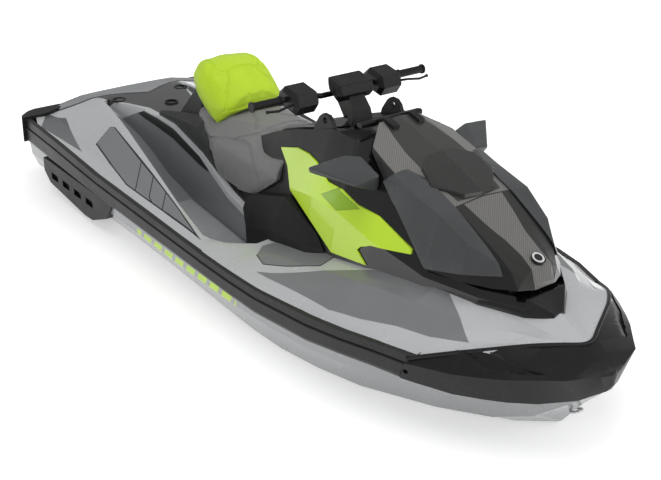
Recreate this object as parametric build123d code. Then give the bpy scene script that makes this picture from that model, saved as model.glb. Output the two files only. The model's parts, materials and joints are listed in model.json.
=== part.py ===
from build123d import *
import math
import os

# A sport personal watercraft, whole, as a set of named pieces.
# Millimetres, +X to the bow, +Y to port, +Z up. The origin is on the waterline plane at
# mid-length, on the centreline.
# Most pieces come in port and starboard pairs, which are built once and mirrored.
# Heights in the tables are from a datum plane, and the finished pieces are raised by its
# height above the water.

# Overall form
halfBeam = 627.5           # half of the overall beam, over the side rails
linesBeam = 627.5          # the half-beam that the widths in the tables are drawn for
datumHeight = 60.0         # datum plane of the lines, above the waterline
keelDepth = 240.0          # keel below the datum
sternX = -1600.0           # transom face of the hull moulding
bondHeight = 160.0         # joint between hull and deck, behind the rails
runningGap = 6.0           # between any moving piece and what it passes
fitGap = 0.08              # radial, between a pin and its bore
pinRadius = 6.0            # pins of the trim ring, nozzle and gate

# Hull stations: x, keel rise, chine y and z, crease y and z, top y
chineFlat = 28.0           # width of the flat along each chine
chineLift = 9.0            # rise across that flat
hullStations = [
    (-1600.0, 0.0, 517.0, -9.0, 574.0, 66.0, 588.0),
    (-800.0, 0.0, 520.0, -11.0, 588.0, 66.0, 601.0),
    (-300.0, 0.0, 516.0, -20.0, 590.0, 64.0, 602.0),
    (150.0, 0.0, 508.0, -46.0, 586.0, 58.0, 600.0),
    (500.0, 4.0, 492.0, -60.0, 566.0, 52.0, 586.0),
    (900.0, 18.0, 424.0, -42.0, 505.0, 68.0, 534.0),
    (1180.0, 48.0, 312.0, -22.0, 396.0, 92.0, 448.0),
    (1350.0, 104.0, 208.0, -10.0, 300.0, 106.0, 362.0),
    (1460.0, 190.0, 124.0, 22.0, 212.0, 124.0, 275.0),
    (1545.0, 312.0, 52.0, 88.0, 112.0, 138.0, 176.0),
    (1608.0, 382.0, 10.0, 146.0, 34.0, 154.0, 78.0),
]
fairing = 220.0            # longest step between the sections of a faired form
joinOver = 50.0            # hull and deck sides run this far past the joint before the cut

# Deck stations: x, then y,z of rail top, flank, ridge, shoulder, and z on the centreline
deckStations = [
    (-1645.0, 520.0, 262.0, 440.0, 266.0, 262.0, 300.0, 180.0, 303.0, 305.0),
    (-1470.0, 586.0, 262.0, 456.0, 246.0, 254.0, 322.0, 176.0, 330.0, 332.0),
    (-1228.0, 598.0, 257.0, 458.0, 222.0, 302.0, 306.0, 168.0, 340.0, 344.0),
    (-900.0, 601.0, 236.0, 495.0, 226.0, 378.0, 288.0, 160.0, 352.0, 356.0),
    (-600.0, 602.0, 226.0, 525.0, 226.0, 446.0, 272.0, 194.0, 318.0, 330.0),
    (-300.0, 602.0, 220.0, 550.0, 224.0, 512.0, 250.0, 242.0, 236.0, 290.0),
    (0.0, 601.0, 210.0, 575.0, 214.0, 548.0, 214.0, 270.0, 210.0, 240.0),
    (180.0, 598.0, 206.0, 552.0, 210.0, 450.0, 222.0, 300.0, 236.0, 240.0),
    (420.0, 590.0, 206.0, 522.0, 228.0, 416.0, 258.0, 300.0, 280.0, 280.0),
    (800.0, 552.0, 227.0, 482.0, 284.0, 396.0, 334.0, 300.0, 356.0, 372.0),
    (1050.0, 496.0, 240.0, 424.0, 290.0, 346.0, 352.0, 240.0, 388.0, 404.0),
    (1185.0, 448.0, 238.0, 376.0, 288.0, 300.0, 340.0, 190.0, 372.0, 394.0),
    (1303.0, 384.0, 281.0, 300.0, 300.0, 226.0, 326.0, 132.0, 342.0, 372.0),
    (1402.0, 284.0, 306.0, 206.0, 312.0, 150.0, 318.0, 84.0, 316.0, 350.0),
    (1456.0, 190.0, 308.0, 128.0, 311.0, 104.0, 313.0, 62.0, 308.0, 328.0),
    (1532.0, 92.0, 300.0, 46.0, 302.0, 34.0, 302.0, 20.0, 302.0, 303.0),
]
bowEdge = [(1185, 446), (1213, 436), (1303, 365), (1379, 299), (1402, 252), (1456, 145),
           (1500, 79), (1528, 0)]

# Footwells: x, outer brim y,z, outer floor y, floor z, inner floor y, inner brim y,z
footStations = [
    (-1440.0, 236.0, 318.0, 230.0, 298.0, 216.0, 210.0, 328.0),
    (-1180.0, 285.0, 306.0, 268.0, 215.0, 190.0, 152.0, 344.0),
    (-1040.0, 316.0, 298.0, 296.0, 174.0, 194.0, 154.0, 350.0),
    (-880.0, 355.0, 289.0, 330.0, 124.0, 208.0, 162.0, 350.0),
    (-600.0, 420.0, 272.0, 385.0, 94.0, 238.0, 194.0, 312.0),
    (-300.0, 487.0, 250.0, 450.0, 92.0, 264.0, 240.0, 232.0),
    (-40.0, 530.0, 214.0, 496.0, 92.0, 290.0, 274.0, 206.0),
    (70.0, 490.0, 208.0, 462.0, 92.0, 300.0, 288.0, 206.0),
    (160.0, 400.0, 206.0, 384.0, 92.0, 322.0, 314.0, 206.0),
]
footTop = 460.0            # the trough is cut up to this height
trayWall = 8.0             # thickness of the moulding round each footwell
trayTop = 190.0            # the tray joins the deck below its upper surface

# Engine bay, under the seat
bayBack = -560.0
bayFront = 330.0
bayHalf = 165.0
bayFloor = -156.0
bayTop = 420.0
engineLength = 620.0
engineWidth = 300.0
engineHeight = 300.0
engineFront = 250.0
shaftFront = engineFront - engineLength - 0.3

# Front locker, under the hood
lockerBack = 700.0
lockerFront = 1080.0
lockerHalf = 170.0         # half-width at the back
lockerTaper = 120.0        # half-width at the front
lockerFloor = 240.0

# Jet pump, in its tunnel at the stern
shaftHeight = -135.0
pumpBore = 76.0
pumpWall = 6.0
flangeReach = 12.0
flangeThick = 10.0
jetRadius = 44.0
pumpLength = 250.0         # bore, from the flange to the cone
coneLength = 55.0
gimbalReach = 60.0         # from the cone to the gimbal axis
hubRadius = 32.0
hubTip = 6.0
shaftRadius = 14.0
bearingDepth = 60.0
impellerLength = 105.0
vaneCount = 5
vaneThick = 5.0
bladeCount = 4
ringLength = 28.0
ringThick = 10.0
nozzleWall = 6.0
nozzleTail = 95.0          # from the gimbal axis back to the nozzle's mouth
armThick = 8.0
gateReach = 205.0
gateThick = 8.0
gateLow = 18.0
gateHigh = 50.0
chamberFront = -1150.0
coneFront = chamberFront - pumpLength
coneBack = coneFront - coneLength
gimbalX = coneBack - gimbalReach
statorFront = coneFront + 100.0
impellerBack = statorFront + 15.0
impellerFront = impellerBack + impellerLength
nozzleExit = jetRadius
nozzleMouth = jetRadius + 23.0
nozzleBack = gimbalX - nozzleTail
ringBore = nozzleMouth + nozzleWall + 7.0
armInside = ringBore + ringThick + runningGap
gateHalf = armInside + armThick + runningGap + 10.0
gateX = coneFront - 40.0
gateZ = shaftHeight + 40.0
chamberHalf = pumpBore + flangeReach + 7.0
chamberTop = shaftHeight + pumpBore + flangeReach + 7.0
intakeHalf = pumpBore
intakeFront = -600.0
intakeBack = -1060.0
grateFront = -722.0
recessFront = coneFront - 15.0
armRoomHalf = armInside + armThick + 8.0
recessHalf = gateHalf + 70.0
recessTop = 100.0
ridePlateBack = coneFront - 12.0
ridePlateFront = chamberFront - 16.0


def wide(y):
    """A half-width of the lines, at the craft's own beam."""
    return y * halfBeam / linesBeam


def ring(points):
    return Wire.make_polygon([Vector(*p) for p in points], close=True)


def loftOf(rings):
    return Solid.make_loft([ring(r) for r in rings], ruled=True)


def faired(table, spacing):
    """The table's rows with more between them, on smooth curves through the given rows,
    so that a loft through them is fair along the length."""
    rows = []
    for i in range(len(table) - 1):
        a, b = table[i], table[i + 1]
        before = table[i - 1] if i else a
        after = table[i + 2] if i + 2 < len(table) else b
        steps = max(1, round((b[0] - a[0]) / spacing))
        for k in range(steps):
            t = k / steps
            row = [a[0] + (b[0] - a[0]) * t]
            for j in range(1, len(a)):
                slopeA = (b[j] - before[j]) / (b[0] - before[0]) * (b[0] - a[0])
                slopeB = (after[j] - a[j]) / (after[0] - a[0]) * (b[0] - a[0])
                row.append((2 * t**3 - 3 * t**2 + 1) * a[j] + (t**3 - 2 * t**2 + t) * slopeA
                           + (3 * t**2 - 2 * t**3) * b[j] + (t**3 - t**2) * slopeB)
            rows.append(tuple(row))
    rows.append(table[-1])
    return rows


def bothSides(halfPoints, x):
    """Closed section from one side's points (y, z), given from the bottom centre round
    to the top centre. Points on the centreline appear once."""
    port = [(x, y, z) for y, z in halfPoints]
    starboard = [(x, -y, z) for y, z in reversed(halfPoints) if y > 0]
    return port + starboard


def prismXZ(points, yLow, yHigh):
    face = Face(ring([(x, yLow, z) for x, z in points]))
    return Solid.extrude(face, Vector(0, yHigh - yLow, 0))


def prismXY(points, zLow, zHigh):
    face = Face(ring([(x, y, zLow) for x, y in points]))
    return Solid.extrude(face, Vector(0, 0, zHigh - zLow))


def acrossBeam(points):
    """Outline over both sides, from points (x, half-width) of one side."""
    port = [(x, wide(y)) for x, y in points]
    return port + [(x, -y) for x, y in reversed(port) if y > 0]


def mirrored(shape):
    return shape.mirror(Plane.XZ)


def box(x0, x1, y0, y1, z0, z1):
    return Pos((x0 + x1) / 2, (y0 + y1) / 2, (z0 + z1) / 2) * Box(x1 - x0, y1 - y0, z1 - z0)


def rod(start, end, radius):
    a = Vector(*start)
    b = Vector(*end)
    axis = b - a
    return Solid.make_cylinder(radius, axis.length, Plane(origin=a, z_dir=axis))


def largest(shape):
    """The main solid of a cut, without the scraps that a trim leaves beyond an edge."""
    return shape.solids().sort_by(SortBy.VOLUME)[-1]


far = 2500.0               # past every side of the craft
under = box(-far, far, -far, far, -far, bondHeight)
over = box(-far, far, -far, far, bondHeight, far)
pieces = {}


def keep(name, *shapes):
    solids = [s for shape in shapes for s in shape.solids()]
    pieces[name] = solids[0] if len(solids) == 1 else Compound(children=solids)


# Footwell troughs, and the trays that line them where they dip into the hull
def trough(stations, grow, top):
    """One footwell's space up to a height, or with grow the tray round it."""
    openTop = top > max(max(row[2], row[7]) for row in stations)
    rings = []
    for x, outY, outZ, outFloor, floorZ, inFloor, inY, inZ in stations:
        if x == stations[-1][0]:
            x += grow
        outShare = min(1.0, (top - floorZ) / (outZ - floorZ))
        inShare = min(1.0, (top - floorZ) / (inZ - floorZ))
        brimOut = wide(outFloor + (outY - outFloor) * outShare) + grow
        brimIn = wide(inFloor + (inY - inFloor) * inShare) - grow
        section = [(x, brimOut, min(top, outZ)), (x, wide(outFloor) + grow, floorZ - grow),
                   (x, wide(inFloor) - grow, floorZ - grow), (x, brimIn, min(top, inZ))]
        if openTop:
            section = [(x, brimOut, top)] + section + [(x, brimIn, top)]
        rings.append(section)
    return loftOf(rings)


trayStations = [row for row in footStations if row[4] < trayTop - trayWall]
footwell = trough(footStations, 0, footTop)
tray = trough(trayStations, trayWall, trayTop)

# Hull: a deep vee with a flat along each chine, closed at the transom
rings = []
for x, rise, chineY, chineZ, creaseY, creaseZ, topY in faired(hullStations, fairing):
    half = [(0, rise - keelDepth), (wide(chineY), chineZ), (wide(chineY) + chineFlat, chineZ + chineLift),
            (wide(creaseY), creaseZ), (wide(topY), bondHeight + joinOver), (0, bondHeight + joinOver)]
    rings.append(bothSides(half, x))
hullForm = loftOf(rings)
hull = hullForm & under

hullUnder = -keelDepth - 22
bay = box(bayBack, bayFront, -bayHalf, bayHalf, bayFloor, bayTop)
intake = prismXZ([(intakeFront, hullUnder), (chamberFront, hullUnder), (chamberFront, shaftHeight + pumpBore),
                  (intakeBack, shaftHeight + pumpBore), (intakeFront, -keelDepth)], -intakeHalf, intakeHalf)
chamber = box(recessFront - 10, chamberFront, -chamberHalf, chamberHalf, hullUnder, chamberTop)
recess = box(sternX - 60, recessFront, -recessHalf, recessHalf, hullUnder, recessTop)
shaftBore = rod((chamberFront, 0, shaftHeight), (bayBack + 5, 0, shaftHeight), shaftRadius + runningGap)
armRoom = box(recessFront - 1, coneFront + 35, -armRoomHalf, armRoomHalf, hullUnder, chamberTop)
hull = hull - bay - intake - chamber - armRoom - recess - shaftBore
trayCut = trough(trayStations, trayWall, trayTop)
hull = hull - trayCut - mirrored(trayCut)
keep("hull", hull)

# Deck: gunwales, flanks and foredeck in one moulding, on the hull's joint. At the bow it
# stops at the edge where the bumper starts
rings = []
for row in faired(deckStations, fairing):
    x, railY, railZ, flankY, flankZ, ridgeY, ridgeZ, shoulderY, shoulderZ, midZ = row
    half = [(0, bondHeight - joinOver), (wide(railY), bondHeight - joinOver), (wide(railY), railZ),
            (wide(flankY), flankZ), (wide(ridgeY), ridgeZ), (wide(shoulderY), shoulderZ), (0, midZ)]
    rings.append(bothSides(half, x))
deckWhole = loftOf(rings)
bowZone = box(bowEdge[0][0], 1800, -700, 700, 100, 500) - prismXY(acrossBeam(bowEdge), 90, 510)
deckForm = deckWhole - bowZone
deckSkin = deckForm & over
locker = loftOf([[(x, -y, lockerFloor), (x, y, lockerFloor), (x, y, 700), (x, -y, 700)]
                 for x, y in ((lockerBack, lockerHalf), (lockerFront, lockerTaper))])
deck = (deckSkin - bay - locker) + tray + mirrored(tray) - footwell - mirrored(footwell)
keep("deck", largest(deck))

# Centre body, from the seat to the nose. Stations: x, base y, waist y and z, edge y and z,
# and z on the centreline
bodyBase = 190.0
bodyStations = [
    (-230.0, 212.0, 196.0, 350.0, 128.0, 500.0, 512.0),
    (60.0, 250.0, 222.0, 410.0, 166.0, 628.0, 600.0),
    (348.0, 306.0, 266.0, 468.0, 182.0, 728.0, 684.0),
    (540.0, 336.0, 290.0, 480.0, 196.0, 735.0, 766.0),
    (740.0, 346.0, 300.0, 450.0, 225.0, 625.0, 628.0),
    (1005.0, 306.0, 276.0, 405.0, 252.0, 432.0, 432.0),
    (1200.0, 212.0, 204.0, 390.0, 194.0, 418.0, 419.0),
    (1330.0, 112.0, 104.0, 372.0, 88.0, 404.0, 406.0),
    (1394.0, 34.0, 28.0, 340.0, 20.0, 352.0, 353.0),
]
bodySplit = 505.0          # joint between the console and the nose cowl
trimThickness = 7.0        # panels laid on the body and the deck
sheetThickness = 3.0       # decals and mats


def bodyForm(grow):
    rings = []
    for x, baseY, waistY, waistZ, edgeY, edgeZ, midZ in faired(bodyStations, fairing):
        half = [(0, bodyBase), (baseY + grow, bodyBase), (waistY + grow, waistZ),
                (edgeY + grow, edgeZ + grow), (0, midZ + grow)]
        rings.append(bothSides(half, x))
    return loftOf(rings)


body = bodyForm(0)

# Line on which the hood parts from the cowl: x, z from the rear edge to the nose
partingRear = 510.0
parting = [(partingRear, 790), (1005, 432), (1345, 414)]
bodyCut = prismXZ([(partingRear, 900)] + parting + [(1345, 900)], -500, 500)

# Steering axis, through the console
steerTilt = 40.0           # lean of the steering axis, back from upright
steerOrigin = (205.0, 0.0, 760.0)
steerAxis = (-math.sin(math.radians(steerTilt)), 0.0, math.cos(math.radians(steerTilt)))


def alongSteer(distance):
    return tuple(steerOrigin[i] + steerAxis[i] * distance for i in range(3))


columnRadius = 34.0
columnLow = -58.0          # foot of the wide part, along the axis from the origin
columnHigh = 30.0
stemRadius = 14.0
stemDepth = 190.0
bayUpper = bay & box(-far, far, -far, far, -far, bayTop)
console = (body & box(-400, bodySplit, -500, 500, 0, 1000)) - deckForm - bayUpper
gloveBack = -60.0
gloveFront = 175.0
gloveHalf = 92.0
gloveDeep = 150.0
gloveFloor = 600 - gloveDeep
console = console - box(gloveBack, gloveFront, -gloveHalf, gloveHalf, gloveFloor, 900)
stemBore = rod(alongSteer(-stemDepth), alongSteer(300), stemRadius + fitGap)
columnBore = rod(alongSteer(columnLow - 2 * runningGap), alongSteer(300), columnRadius + runningGap)
console = console - stemBore - columnBore
cowl = (body & box(bodySplit, 1500, -500, 500, 0, 1000)) - deckForm - bodyCut - locker

# Hood, a hollow lid over the front locker. Stations: x, z on the centreline, crown y and z,
# ridge y and z, low edge y and z
hoodStations = [
    (522.0, 797.0, 98.0, 787.0, 150.0, 768.0, 190.0, 740.0),
    (609.0, 772.0, 112.0, 762.0, 196.0, 732.0, 214.0, 690.0),
    (700.0, 742.0, 124.0, 732.0, 206.0, 700.0, 240.0, 600.0),
    (830.0, 700.0, 130.0, 690.0, 212.0, 656.0, 262.0, 510.0),
    (1000.0, 634.0, 108.0, 624.0, 208.0, 618.0, 278.0, 436.0),
    (1130.0, 568.0, 84.0, 560.0, 186.0, 548.0, 240.0, 420.0),
    (1230.0, 528.0, 70.0, 516.0, 122.0, 492.0, 176.0, 416.0),
    (1290.0, 500.0, 48.0, 488.0, 80.0, 466.0, 112.0, 412.0),
    (1316.0, 440.0, 26.0, 436.0, 44.0, 430.0, 56.0, 412.0),
]
hoodWall = 9.0
hoodRear = hoodStations[0][0]
hingeX = 1288.0
hingeZ = 434.0
hingePin = 4.5
hingeBarrel = 9.0
lugReach = 20.0            # hinge lugs, either side of the centreline
barrelReach = 36.0
barrelHalf = 9.0
pocketHalf = 118.0         # the hood's nose dips into this pocket as it opens


def hoodForm(grow):
    rings = []
    for x, midZ, crownY, crownZ, ridgeY, ridgeZ, lowY, lowZ in faired(hoodStations, fairing):
        half = [(0, 330), (lowY + grow, 330), (lowY + grow, lowZ), (ridgeY + grow, ridgeZ + grow),
                (crownY, crownZ + grow), (0, midZ + grow)]
        rings.append(bothSides(half, x))
    return loftOf(rings)


hoodOuter = hoodForm(0)
hoodInner = hoodForm(-hoodWall) & box(hoodRear + hoodWall, hingeX - 34, -400, 400, 0, 900)
hoodFloor = prismXZ([(x, z + runningGap) for x, z in parting]
                    + [(1345, 0), (400, 0), (400, 866)], -500, 500)
backCut = prismXY([(500, 98), (hoodRear, 98), (609, 200), (700, 400), (500, 400)], 300, 900)
hood = hoodOuter - hoodInner - hoodFloor - backCut - mirrored(backCut)
panelLine = [(760, 700), (1000, 655), (1075, 600), (1290, 510), (1262, 470), (1120, 455),
             (1010, 440), (800, 590), (700, 640)]
hoodSide = (hoodForm(trimThickness) - hoodOuter) & prismXZ(panelLine, 135, 500)
hoodSide = largest(hoodSide - hoodFloor - backCut)
keep("hood_side_panels", hoodSide, mirrored(hoodSide))
scoopOutline = prismXY([(800, -128), (880, -150), (970, -70), (985, 0), (970, 70), (880, 150),
                        (800, 128), (760, 60), (760, -60)], 500, 900)
scoopLift = 14.0
scoop = ((hoodForm(scoopLift) - hoodOuter) & scoopOutline) - hoodSide - mirrored(hoodSide)
keep("hood_scoop", largest(scoop))

# Hood hinge: a pin on two lugs of the cowl, through two barrels of the hood, under the nose
hingePocket = box(hingeX - 30, 1322, -pocketHalf, pocketHalf, hingeZ - 42, 600)
pinReach = barrelReach + barrelHalf + 5
cowl = cowl - hingePocket + rod((hingeX, -pinReach, hingeZ), (hingeX, pinReach, hingeZ), hingePin)
lugLine = [(7, -3), (7, 7), (-7, 7), (-9, -9), (-30, -22), (-38, -48), (-14, -48), (-6, -16)]
for y in (-lugReach, lugReach):
    cowl = cowl + prismXZ([(hingeX + dx, hingeZ + dz) for dx, dz in lugLine], y - 5, y + 5)
keep("nose_cowl", cowl)
for y in (-barrelReach, barrelReach):
    barrel = rod((hingeX, y - barrelHalf, hingeZ), (hingeX, y + barrelHalf, hingeZ), hingeBarrel)
    web = box(hingeX - 8, hingeX + 8, y - barrelHalf, y + barrelHalf, hingeZ, hingeZ + 44)
    hood = hood + (barrel + (web & hoodOuter))
clearPin = rod((hingeX, -pinReach - 10, hingeZ), (hingeX, pinReach + 10, hingeZ), hingePin + fitGap)
swing = rod((hingeX, -barrelReach + barrelHalf, hingeZ), (hingeX, barrelReach - barrelHalf, hingeZ), 17)
hood = hood - clearPin - swing
keep("hood", hood)

emblemRadius = 27.0
emblemPlane = Plane(origin=(1270, 0, 505), z_dir=(0.42, 0, 0.91))
emblem = emblemPlane * Pos(0, 0, 4) * Cylinder(emblemRadius, 10)
keep("emblem_disc", largest(emblem - hoodOuter))

# Edge bar behind the hood, held by two straps that lap its rear edge
barHalf = 150.0
strapHalf = 14.0
loopInside = 160.0
loopWidth = 18.0
loopHole = 12.0
handle = prismXZ([(458, 764), (458, 778), (478, 782), (486, 776), (486, 762)], -barHalf, barHalf)
strapLine = [(480, 762), (480, 782), (hoodRear, 803), (582, 788), (582, 700), (540, 700), (hoodRear, 770)]
for y in (-62, 62):
    handle = handle + prismXZ(strapLine, y - strapHalf, y + strapHalf)
keep("hood_handle", largest(handle - hoodOuter - body))

# Grab loops, one each side on the shoulders of the console
loopLine = [(216, 640), (232, 706), (262, 752), (282, 768), (316, 768), (338, 752), (366, 700), (366, 640)]
grabLoop = prismXZ(loopLine, loopInside, loopInside + loopWidth)
grabLoop = grabLoop - rod((298, 100, 744), (298, 300, 744), loopHole) - body
grabLoop = largest(grabLoop)
keep("grab_loops", grabLoop, mirrored(grabLoop))

# Glove box lid, hinged at its front edge, over the box in the console
lidGap = 3.0
lidThickness = 9.0
lidLip = 14.0              # the lid laps the box's edge by this much
lidPin = 3.5
lidBarrel = 7.5
lidHingeX = gloveFront + 18
lidHingeZ = 650.0
lidForm = (bodyForm(lidGap + lidThickness) - bodyForm(lidGap)) & box(
    gloveBack - lidLip, gloveFront, -gloveHalf - lidLip, gloveHalf + lidLip, 300, 900)
lid = lidForm
for y in (-40, 40):
    lid = lid + box(gloveFront - 12, lidHingeX, y - 8, y + 8, lidHingeZ - 3, lidHingeZ + 4)
    lid = lid + rod((lidHingeX, y - 8, lidHingeZ), (lidHingeX, y + 8, lidHingeZ), lidBarrel)
lidBore = rod((lidHingeX, -60, lidHingeZ), (lidHingeX, 60, lidHingeZ), lidPin + fitGap)
lid = lid - lidBore
console = console - rod((lidHingeX, -58, lidHingeZ), (lidHingeX, 58, lidHingeZ), lidBarrel + runningGap)
console = console - box(gloveFront - 14, lidHingeX, -58, 58, lidHingeZ - 12, 900)
console = console + rod((lidHingeX, -59, lidHingeZ), (lidHingeX, 59, lidHingeZ), lidPin)
console = console + box(lidHingeX - 5, lidHingeX + 5, -62, -52, lidHingeZ - 30, lidHingeZ + 4)
console = console + box(lidHingeX - 5, lidHingeX + 5, 52, 62, lidHingeZ - 30, lidHingeZ + 4)
keep("glovebox_lid", lid)
keep("console", largest(console))

# Panels on the sides of the centre body
bodyLifted = bodyForm(trimThickness)
accentLine = [(20, 545), (150, 588), (240, 596), (314, 590), (422, 552), (529, 559), (623, 539), (743, 536),
              (921, 474), (926, 458), (751, 431), (700, 407), (683, 389), (745, 354), (538, 320),
              (347, 378), (168, 423), (103, 500)]
accent = (bodyLifted - body) & prismXZ(accentLine, 60, 500)
accent = largest(accent - deckForm - bodyCut - hoodSide)
keep("accent_panels", accent, mirrored(accent))

# Knee pods, bulging from the body ahead of each footwell. Stations: x, then outer y and z
# from the bottom up
podInside = 205.0
podStations = [
    (-150.0, 238.0, 200.0, 262.0, 230.0, 240.0, 280.0),
    (-40.0, 318.0, 118.0, 322.0, 200.0, 272.0, 330.0),
    (180.0, 352.0, 170.0, 346.0, 270.0, 282.0, 408.0),
    (400.0, 346.0, 262.0, 340.0, 300.0, 300.0, 352.0),
    (486.0, 318.0, 296.0, 316.0, 308.0, 306.0, 322.0),
]
rings = []
for x, lowY, lowZ, midY, midZ, topY, topZ in faired(podStations, fairing):
    rings.append([(x, podInside, lowZ), (x, lowY, lowZ), (x, midY, midZ), (x, topY, topZ),
                  (x, podInside, topZ)])
pod = largest(loftOf(rings) - bodyLifted - pieces["deck"] - pieces["hull"])
keep("knee_pods", pod, mirrored(pod))

# Seat: side shell, cushion and bolster. Stations as on the body
seatStations = [
    (-1060.0, 140.0, 138.0, 360.0, 122.0, 368.0, 370.0),
    (-900.0, 152.0, 146.0, 380.0, 124.0, 408.0, 412.0),
    (-640.0, 186.0, 176.0, 420.0, 132.0, 470.0, 476.0),
    (-300.0, 226.0, 200.0, 400.0, 132.0, 480.0, 490.0),
    (-232.0, 228.0, 200.0, 380.0, 130.0, 490.0, 500.0),
]
rings = []
for x, baseY, waistY, waistZ, edgeY, edgeZ, midZ in faired(seatStations, fairing):
    half = [(0, 200), (baseY, 200), (waistY, waistZ), (edgeY, edgeZ), (0, midZ)]
    rings.append(bothSides(half, x))
seatShell = loftOf(rings)
cushionStations = [
    (-700.0, 120.0, 450.0, 150.0, 470.0, 124.0, 500.0, 508.0),
    (-610.0, 160.0, 440.0, 172.0, 468.0, 134.0, 510.0, 518.0),
    (-520.0, 190.0, 340.0, 200.0, 440.0, 140.0, 516.0, 526.0),
    (-433.0, 216.0, 274.0, 212.0, 420.0, 140.0, 520.0, 530.0),
    (-250.0, 226.0, 262.0, 214.0, 420.0, 138.0, 524.0, 536.0),
    (-120.0, 230.0, 280.0, 220.0, 420.0, 140.0, 530.0, 540.0),
    (70.0, 250.0, 420.0, 244.0, 450.0, 200.0, 520.0, 530.0),
]
rings = []
for x, lowY, lowZ, sideY, sideZ, edgeY, edgeZ, midZ in faired(cushionStations, fairing):
    half = [(0, lowZ), (lowY, lowZ), (sideY, sideZ), (edgeY, edgeZ), (0, midZ)]
    rings.append(bothSides(half, x))
cushionForm = loftOf(rings)
bolsterStations = [
    (-752.0, 586.0, 80.0, 596.0, 112.0, 640.0, 76.0, 672.0, 682.0),
    (-706.0, 566.0, 146.0, 574.0, 160.0, 650.0, 122.0, 706.0, 718.0),
    (-640.0, 540.0, 164.0, 546.0, 174.0, 640.0, 134.0, 710.0, 724.0),
    (-572.0, 532.0, 164.0, 500.0, 178.0, 600.0, 138.0, 690.0, 702.0),
    (-512.0, 536.0, 158.0, 468.0, 176.0, 560.0, 138.0, 652.0, 662.0),
    (-452.0, 545.0, 146.0, 520.0, 164.0, 560.0, 128.0, 604.0, 612.0),
    (-424.0, 552.0, 112.0, 548.0, 130.0, 566.0, 100.0, 582.0, 588.0),
]
rings = []
for x, keelZ, lowY, lowZ, sideY, sideZ, edgeY, edgeZ, midZ in faired(bolsterStations, fairing):
    half = [(0, keelZ), (lowY, lowZ), (sideY, sideZ), (edgeY, edgeZ), (0, midZ)]
    rings.append(bothSides(half, x))
bolster = loftOf(rings)
seatPad = cushionForm - bolster - deckForm - body - accent - mirrored(accent) - pod - mirrored(pod)
seatPad = largest(seatPad)
seatBack = prismXZ([(-900, 400), (-752, 560), (-700, 600), (-560, 560), (-560, 400)], -118, 118)
seatBase = largest((seatShell + seatBack) - cushionForm - bolster - deckForm - body - bayUpper)
keep("seat_cushion", seatPad)
keep("seat_bolster", bolster)
keep("seat_base", seatBase)

# Rails: two strips with a groove between them, from the stern caps to the bow bumper.
# Stations: x, y of the moulding behind, low and high edge
railStations = [
    (-1562.0, 585.0, 151.0, 264.0),
    (-1200.0, 597.0, 150.0, 258.0),
    (-800.0, 601.5, 137.0, 233.0),
    (-300.0, 602.5, 130.0, 221.0),
    (100.0, 601.5, 124.0, 209.0),
    (450.0, 589.0, 112.0, 207.0),
    (740.0, 565.0, 126.0, 224.0),
    (900.0, 538.0, 142.0, 234.0),
    (1040.0, 500.0, 149.0, 242.0),
    (1200.0, 444.0, 142.0, 240.0),
]
railThick = halfBeam - wide(602.5)
railGroove = 8.0
grooveShare = 0.66         # of the rail's height, below the groove
railJoint = [(1132, 100), (1150, 190), (1192, 260), (1400, 300), (1400, 60)]
rings = []
for x, y, low, high in faired(railStations, fairing):
    y = wide(y)
    split = low + (high - low) * grooveShare
    rings.append([(x, y - 16, low), (x, y + railThick - 6, low), (x, y + railThick, low + 12),
                  (x, y + railThick, split - 5), (x, y + railThick - railGroove, split),
                  (x, y + railThick - 3, split + 5), (x, y + railThick - 7, high), (x, y - 5, high)])
rail = largest(loftOf(rings) - hullForm - deckForm - prismXZ(railJoint, 0, 900))
keep("side_rails", rail, mirrored(rail))

# Bow bumper: a wedge round the bow, widest at its ridge. Stations: x, low edge y and z,
# ridge y and z, lip y and z
bumperStations = [
    (1100.0, 500.0, 142.0, 508.0, 200.0, 470.0, 236.0),
    (1180.0, 466.0, 140.0, 479.0, 213.0, 444.0, 246.0),
    (1319.0, 408.0, 143.0, 421.0, 225.0, 352.0, 304.0),
    (1402.0, 348.0, 144.0, 360.0, 231.0, 255.0, 315.0),
    (1462.0, 298.0, 145.0, 309.0, 236.0, 136.0, 310.0),
    (1530.0, 222.0, 146.0, 238.0, 244.0, 40.0, 302.0),
    (1595.0, 100.0, 147.0, 172.0, 252.0, 24.0, 283.0),
    (1636.0, 12.0, 172.0, 62.0, 247.0, 12.0, 262.0),
    (1651.0, 4.0, 200.0, 10.0, 240.0, 5.0, 248.0),
]
rings = []
for x, lowY, lowZ, ridgeY, ridgeZ, lipY, lipZ in bumperStations:
    half = [(0, lowZ), (wide(lowY), lowZ), (wide(ridgeY), ridgeZ), (wide(lipY), lipZ), (0, lipZ)]
    rings.append(bothSides(half, x))
bumperForm = loftOf(rings)
pocketDeep = 7.0
boltX = 1162.0
boltZ = 176.0
boltRadius = 9.0
bumperStart = prismXZ(railJoint[:3] + [(1192, 400), (900, 400), (900, 60), (1132, 60)], -900, 900)
bumper = bumperForm - hullForm - deckForm - bumperStart
bumper = bumper - prismXY(acrossBeam(bowEdge), 90, 420)
pocketLine = [(1262, 366), (1300, 372), (1400, 330), (1533, 199), (1380, 300)]
pocket = (bumperForm - Pos(0, 0, -pocketDeep) * bumperForm) & prismXY(pocketLine, 150, 400)
bumper = largest(bumper - pocket - mirrored(pocket))
bolt = rod((boltX, 200, boltZ), (boltX, 600, boltZ), boltRadius)
keep("bow_bumper", bumper - bolt - mirrored(bolt))

# Stern caps
capLine = [(-1562, 627), (-1596, 612), (-1640, 560), (-1654, 520), (-1654, 380), (-1640, 380),
           (-1600, 400), (-1562, 500)]
cap = prismXY([(x, wide(y)) for x, y in capLine], 150, 276) - hullForm - deckForm
cap = largest(cap)
keep("stern_caps", cap, mirrored(cap))

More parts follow.
